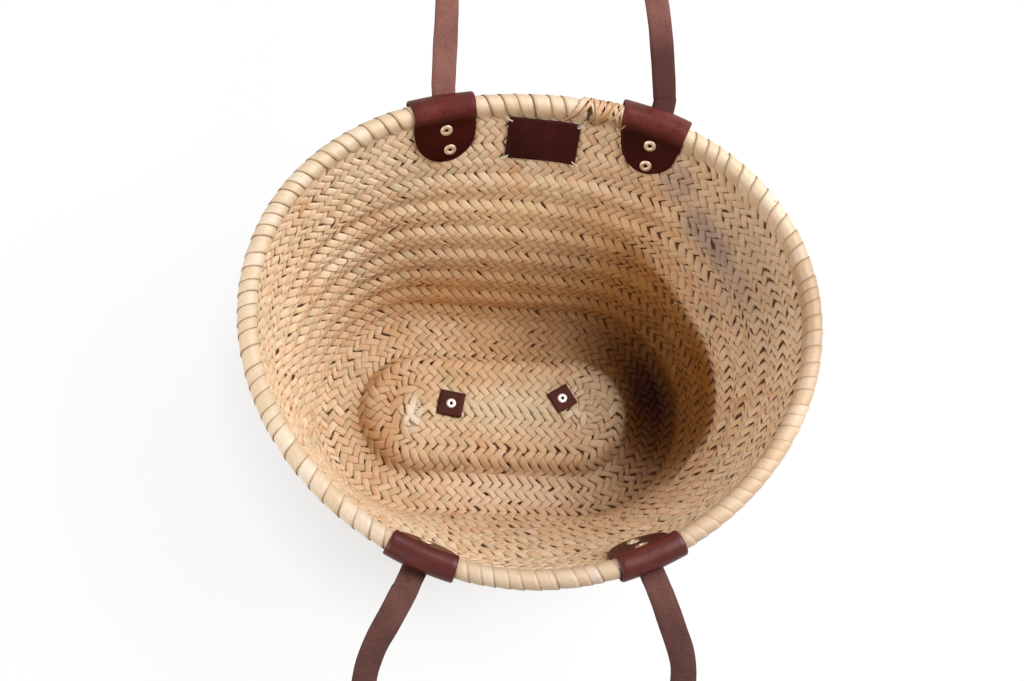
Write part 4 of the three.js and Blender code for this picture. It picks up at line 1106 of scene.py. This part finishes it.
# Radius of each strand of a corner's thread, and how far its far end stands off the middle of the wall
STRANDS = ((0.55, 2.4), (0.45, 2.4), (0.3, 5.5))
for number, (j_side, i_side) in enumerate(((-1, 0), (1, 0), (-1, 1), (1, 1)), 1):
    parts = []
    for strand, (radius, end_height) in enumerate(STRANDS):
        jitter = rng.normal(0, 0.5, 6)
        inner_across = j_side * (LABEL_W / 2 - 3.4 + jitter[0])
        outer_across = j_side * (LABEL_W / 2 + 2.6 + 1.5 * strand + jitter[1])
        drop_in = LABEL_DROP - LABEL_TILT * inner_across + 3.6 + i_side * (LABEL_H - 7.2) + jitter[2]
        drop_out = drop_in + (1 if i_side else -1) * (3.4 + 1.2 * strand) + jitter[3]
        line = []
        for share, height in ((0, 2.7), (0.12, 4.95), (0.5, 5.35), (0.8, 4.7), (1.0, end_height)):
            point, _, _ = on_wall(LABEL_SPOT, inner_across + (outer_across - inner_across) * share,
                                  drop_in + (drop_out - drop_in) * share, -height)
            line.append(point)
        points, faces = thin_tube(line, radius)
        parts.append((points, faces, {}))
    make_joined(f"thread_{number}", parts, thread, [f"label_stitch_{number}"])


# --- leather squares on the raised middle
def square_sheet(name, size, x, y, turn, height, curl):
    cosine, sine = math.cos(math.radians(turn)), math.sin(math.radians(turn))

    def place(i, j, lift):
        a, b = size / 2 * j, size / 2 * i
        z = height + lift + curl * (np.abs(i * j) ** 3) * 0.9
        return np.stack([x + a * cosine - b * sine, y + a * sine + b * cosine, z], -1)

    steps = np.array([-1, -0.93, -0.75, -0.5, -0.25, 0, 0.25, 0.5, 0.75, 0.93, 1])
    points, faces = leather_sheet(place, steps, steps, SQUARE_THICK)
    make(f"leather_{name}", points, faces, square_leather, [f"base_{name}"])


PLATEAU_TOP = PLAIT + PLATEAU_RISE
for name, (size, x, y, turn) in SQUARES.items():
    square_sheet(f"square_{name}", size, x, y, turn, PLATEAU_TOP + CLEAR + SQUARE_THICK / 2, 1.0)
    square_sheet(f"pad_{name}", size, x, y, turn, PLATEAU_RISE - CLEAR - SQUARE_THICK / 2, 0.0)
    # Heights along the rivet are counted downwards
    rivet_and_washer("base_", name, BASE_RIVET, -(PLATEAU_TOP + 2 * CLEAR + SQUARE_THICK + HEAD_HIGH),
                     -(PLATEAU_RISE - 2 * CLEAR - SQUARE_THICK), np.array([x, y, 0.0]), np.array([0, 0, -1.0]), silver)


# --- loose fibres of the plait
# How many in all, and how many of them low down where the most leaves have shrunk
FIBRES, LOW_FIBRES = 150, 110
parts = []
for fibre_number in range(FIBRES):
    if fibre_number < LOW_FIBRES:
        turn_of, level = rng.uniform(-0.32, 0.32) + SHRUNK_TURN, rng.uniform(4.1, 6.6)
    else:
        turn_of, level = rng.uniform(0, 1), rng.uniform(1, 6.6)
    length, heading = rng.uniform(5, 15), rng.uniform(0, 2 * math.pi)
    raise_to, bend = rng.uniform(3.4, 6.0), rng.normal(0, 0.35)
    at = surface(turn_of, level)
    line = []
    for share in (0, 0.35, 0.7, 1.0):
        away = length * share
        turned_by = heading + bend * share
        spot = surface(turn_of + away * math.cos(turned_by) / at["spread"],
                       level + away * math.sin(turned_by) / at["climb"])
        line.append(spot["point"] - spot["out"] * (1.2 + (raise_to - 1.2) * math.sin(share * 2.4)))
    points, faces = thin_tube(line, rng.uniform(0.16, 0.34), sides=5, count=9)
    parts.append((points, faces, {"strand": np.tile([0.0, 0.0, rng.uniform(0.3, 1.0)], (len(points), 1))}))
make_joined("loose_fibres", parts, palm)


# --- the pale knot where the plait starts
# Its leaves: x, y, heading in degrees, length and height over the base's top
KNOT_LEAVES = [(-84, 4, 78, 17, 1.6), (-87, -4, 102, 16, 2.2), (-90, -12, 66, 15, 1.6), (-82, -12, 140, 14, 2.4),
               (-70, 1, 48, 15, 0.6), (-64, -2, 132, 15, 0.7), (-76, -4, 50, 15, 0.6), (72, -2, 40, 14, 0.6),
               (80, 0, 128, 15, 1.0), (86, -6, 84, 15, 1.2)]


def leaf_strip(line, half_width, thickness):
    """Closed flat leaf along a smooth line on the base, its edges a little lower than its middle."""
    path = spline(line, 12)
    ahead = unit(np.gradient(path, axis=0))
    aside = unit(np.cross(np.array([0, 0, 1.0]), ahead))
    ring = np.array([(-1, -1.0), (-1, 0.1), (-0.5, 0.45), (0, 0.6), (0.5, 0.45), (1, 0.1), (1, -1.0)])
    taper = 1 - 0.35 * np.abs(np.linspace(-1, 1, len(path))) ** 3
    points = (path[:, None] + aside[:, None] * (ring[None, :, :1] * half_width * taper[:, None, None])
              + np.array([0, 0, 1.0]) * ring[None, :, 1:] * thickness)
    points = points.reshape(-1, 3)
    length = np.repeat(np.linspace(-5.5, 5.5, len(path)), len(ring))
    strand = np.stack([np.tile(ring[:, 0] * 3.4, len(path)), length, np.full(len(points), rng.uniform(0.85, 1.2))], -1)
    return points, tube_faces(len(path), len(ring)), {"strand": strand}


parts = []
for x, y, heading, length, level in KNOT_LEAVES:
    step = np.array([math.cos(math.radians(heading)), math.sin(math.radians(heading)), 0]) * length / 2
    at = np.array([x, y, PLATEAU_TOP + level])
    lift = np.array([0, 0, 1.9])
    line = [at - step - lift, at - step * 0.6, at + lift * 0.3, at + step * 0.6, at + step - lift]
    parts.append(leaf_strip(line, 3.3, 0.9))
make_joined("plait_knot", parts, palm)

# The rim's core is the one node that is carried over from the CAD
core_node = frame["nodes"]["rim_core"]
core_node.data.materials.clear()
core_node.data.materials.append(fibre)


# --- stage, lights and camera
# Columns: the camera's right, up, back and place, fitted to the photograph
CAMERA_PLACE = ((0.9917835, -0.0386164, -0.12196, -0.15533), (0.0, 0.9533518, -0.3018615, -0.38302),
                (0.1279276, 0.2993813, 0.9455186, 1.294306), (0, 0, 0, 1))
COOL, WARM = (0.97, 0.99, 1.0), (1.0, 0.99, 0.97)
# Place, size, power and colour of each lamp. All look at the middle of the basket
LAMPS = {
    "key": ((1.2, 0, 1.8), 0.9, 24, COOL),
    "back": ((0.9, 0.8, 1.8), 0.9, 20, COOL),
    "low": ((1.9, 0.3, 1.1), 0.9, 16, COOL),
    "fill": ((-1.9, 0.1, 1.15), 1.1, 15.5, WARM),
    "front_fill": ((-1.5, -1.1, 1.15), 1.1, 16, WARM),
}
LAMP_AIM = Vector((0, 0, 0.1))
FLOOR_REACH = 40.0
WHITE = (1, 1, 1, 1)


def camera():
    data = bpy.data.cameras.new("camera")
    data.sensor_width, data.lens = 36, 47.18
    obj = placed("camera", data)
    obj.matrix_world = Matrix(CAMERA_PLACE)
    bpy.context.scene.camera = obj


def lamp(name, place, size, power, colour):
    data = bpy.data.lights.new(name, "AREA")
    data.shape, data.size, data.energy, data.color = "DISK", size, power, colour
    obj = placed(name, data)
    obj.location = place
    obj.rotation_euler = (LAMP_AIM - Vector(place)).to_track_quat("-Z", "Y").to_euler()


def floor():
    """Pale floor: plain to the light, and nearly white to the camera, more so the further it is from the basket."""
    n = Nodes("floor")
    ray = n.add("ShaderNodeLightPath").outputs
    seen = n.math("MAXIMUM", n.math("MAXIMUM", ray["Is Camera Ray"], ray["Is Glossy Ray"]), ray["Is Transmission Ray"])
    n.shade(Base_Color=(0.86, 0.86, 0.86, 1), Roughness=0.9)
    glow = n.add("ShaderNodeEmission", {"Color": WHITE, "Strength": 1.0}).outputs[0]
    away = n.add("ShaderNodeVectorMath", {0: n.place()}, operation="LENGTH").outputs["Value"]
    share = n.math("MINIMUM", n.spread(away, 0.18, 0.32, 0.45, 1.0), n.spread(away, 0.3, 1.2, 0.90, 1.0))
    both = n.add("ShaderNodeMixShader", {0: n.math("MULTIPLY", seen, share), 1: n.shader.outputs[0], 2: glow})
    n.feed(n.tree.nodes["Material Output"].inputs[0], both.outputs[0])
    mesh = bpy.data.meshes.new("floor")
    corners = [(-1, -1, 0), (1, -1, 0), (1, 1, 0), (-1, 1, 0)]
    mesh.from_pydata([[FLOOR_REACH * k for k in corner] for corner in corners], [], [(0, 1, 2, 3)])
    mesh.materials.append(n.owner)
    placed("floor", mesh)


def world():
    """Faint even light, which the camera and reflections see as white."""
    n = Nodes("studio", bpy.data.worlds, "Background")
    ray = n.add("ShaderNodeLightPath").outputs
    seen = n.math("MAXIMUM", ray["Is Camera Ray"], ray["Is Glossy Ray"])
    bpy.context.scene.world = n.shade(Color=WHITE, Strength=n.spread(seen, 0.0, 1.0, 0.10, 1.0))


camera()
floor()
world()
for lamp_name, lamp_settings in LAMPS.items():
    lamp(lamp_name, *lamp_settings)
bpy.context.scene.view_settings.view_transform = "Standard"
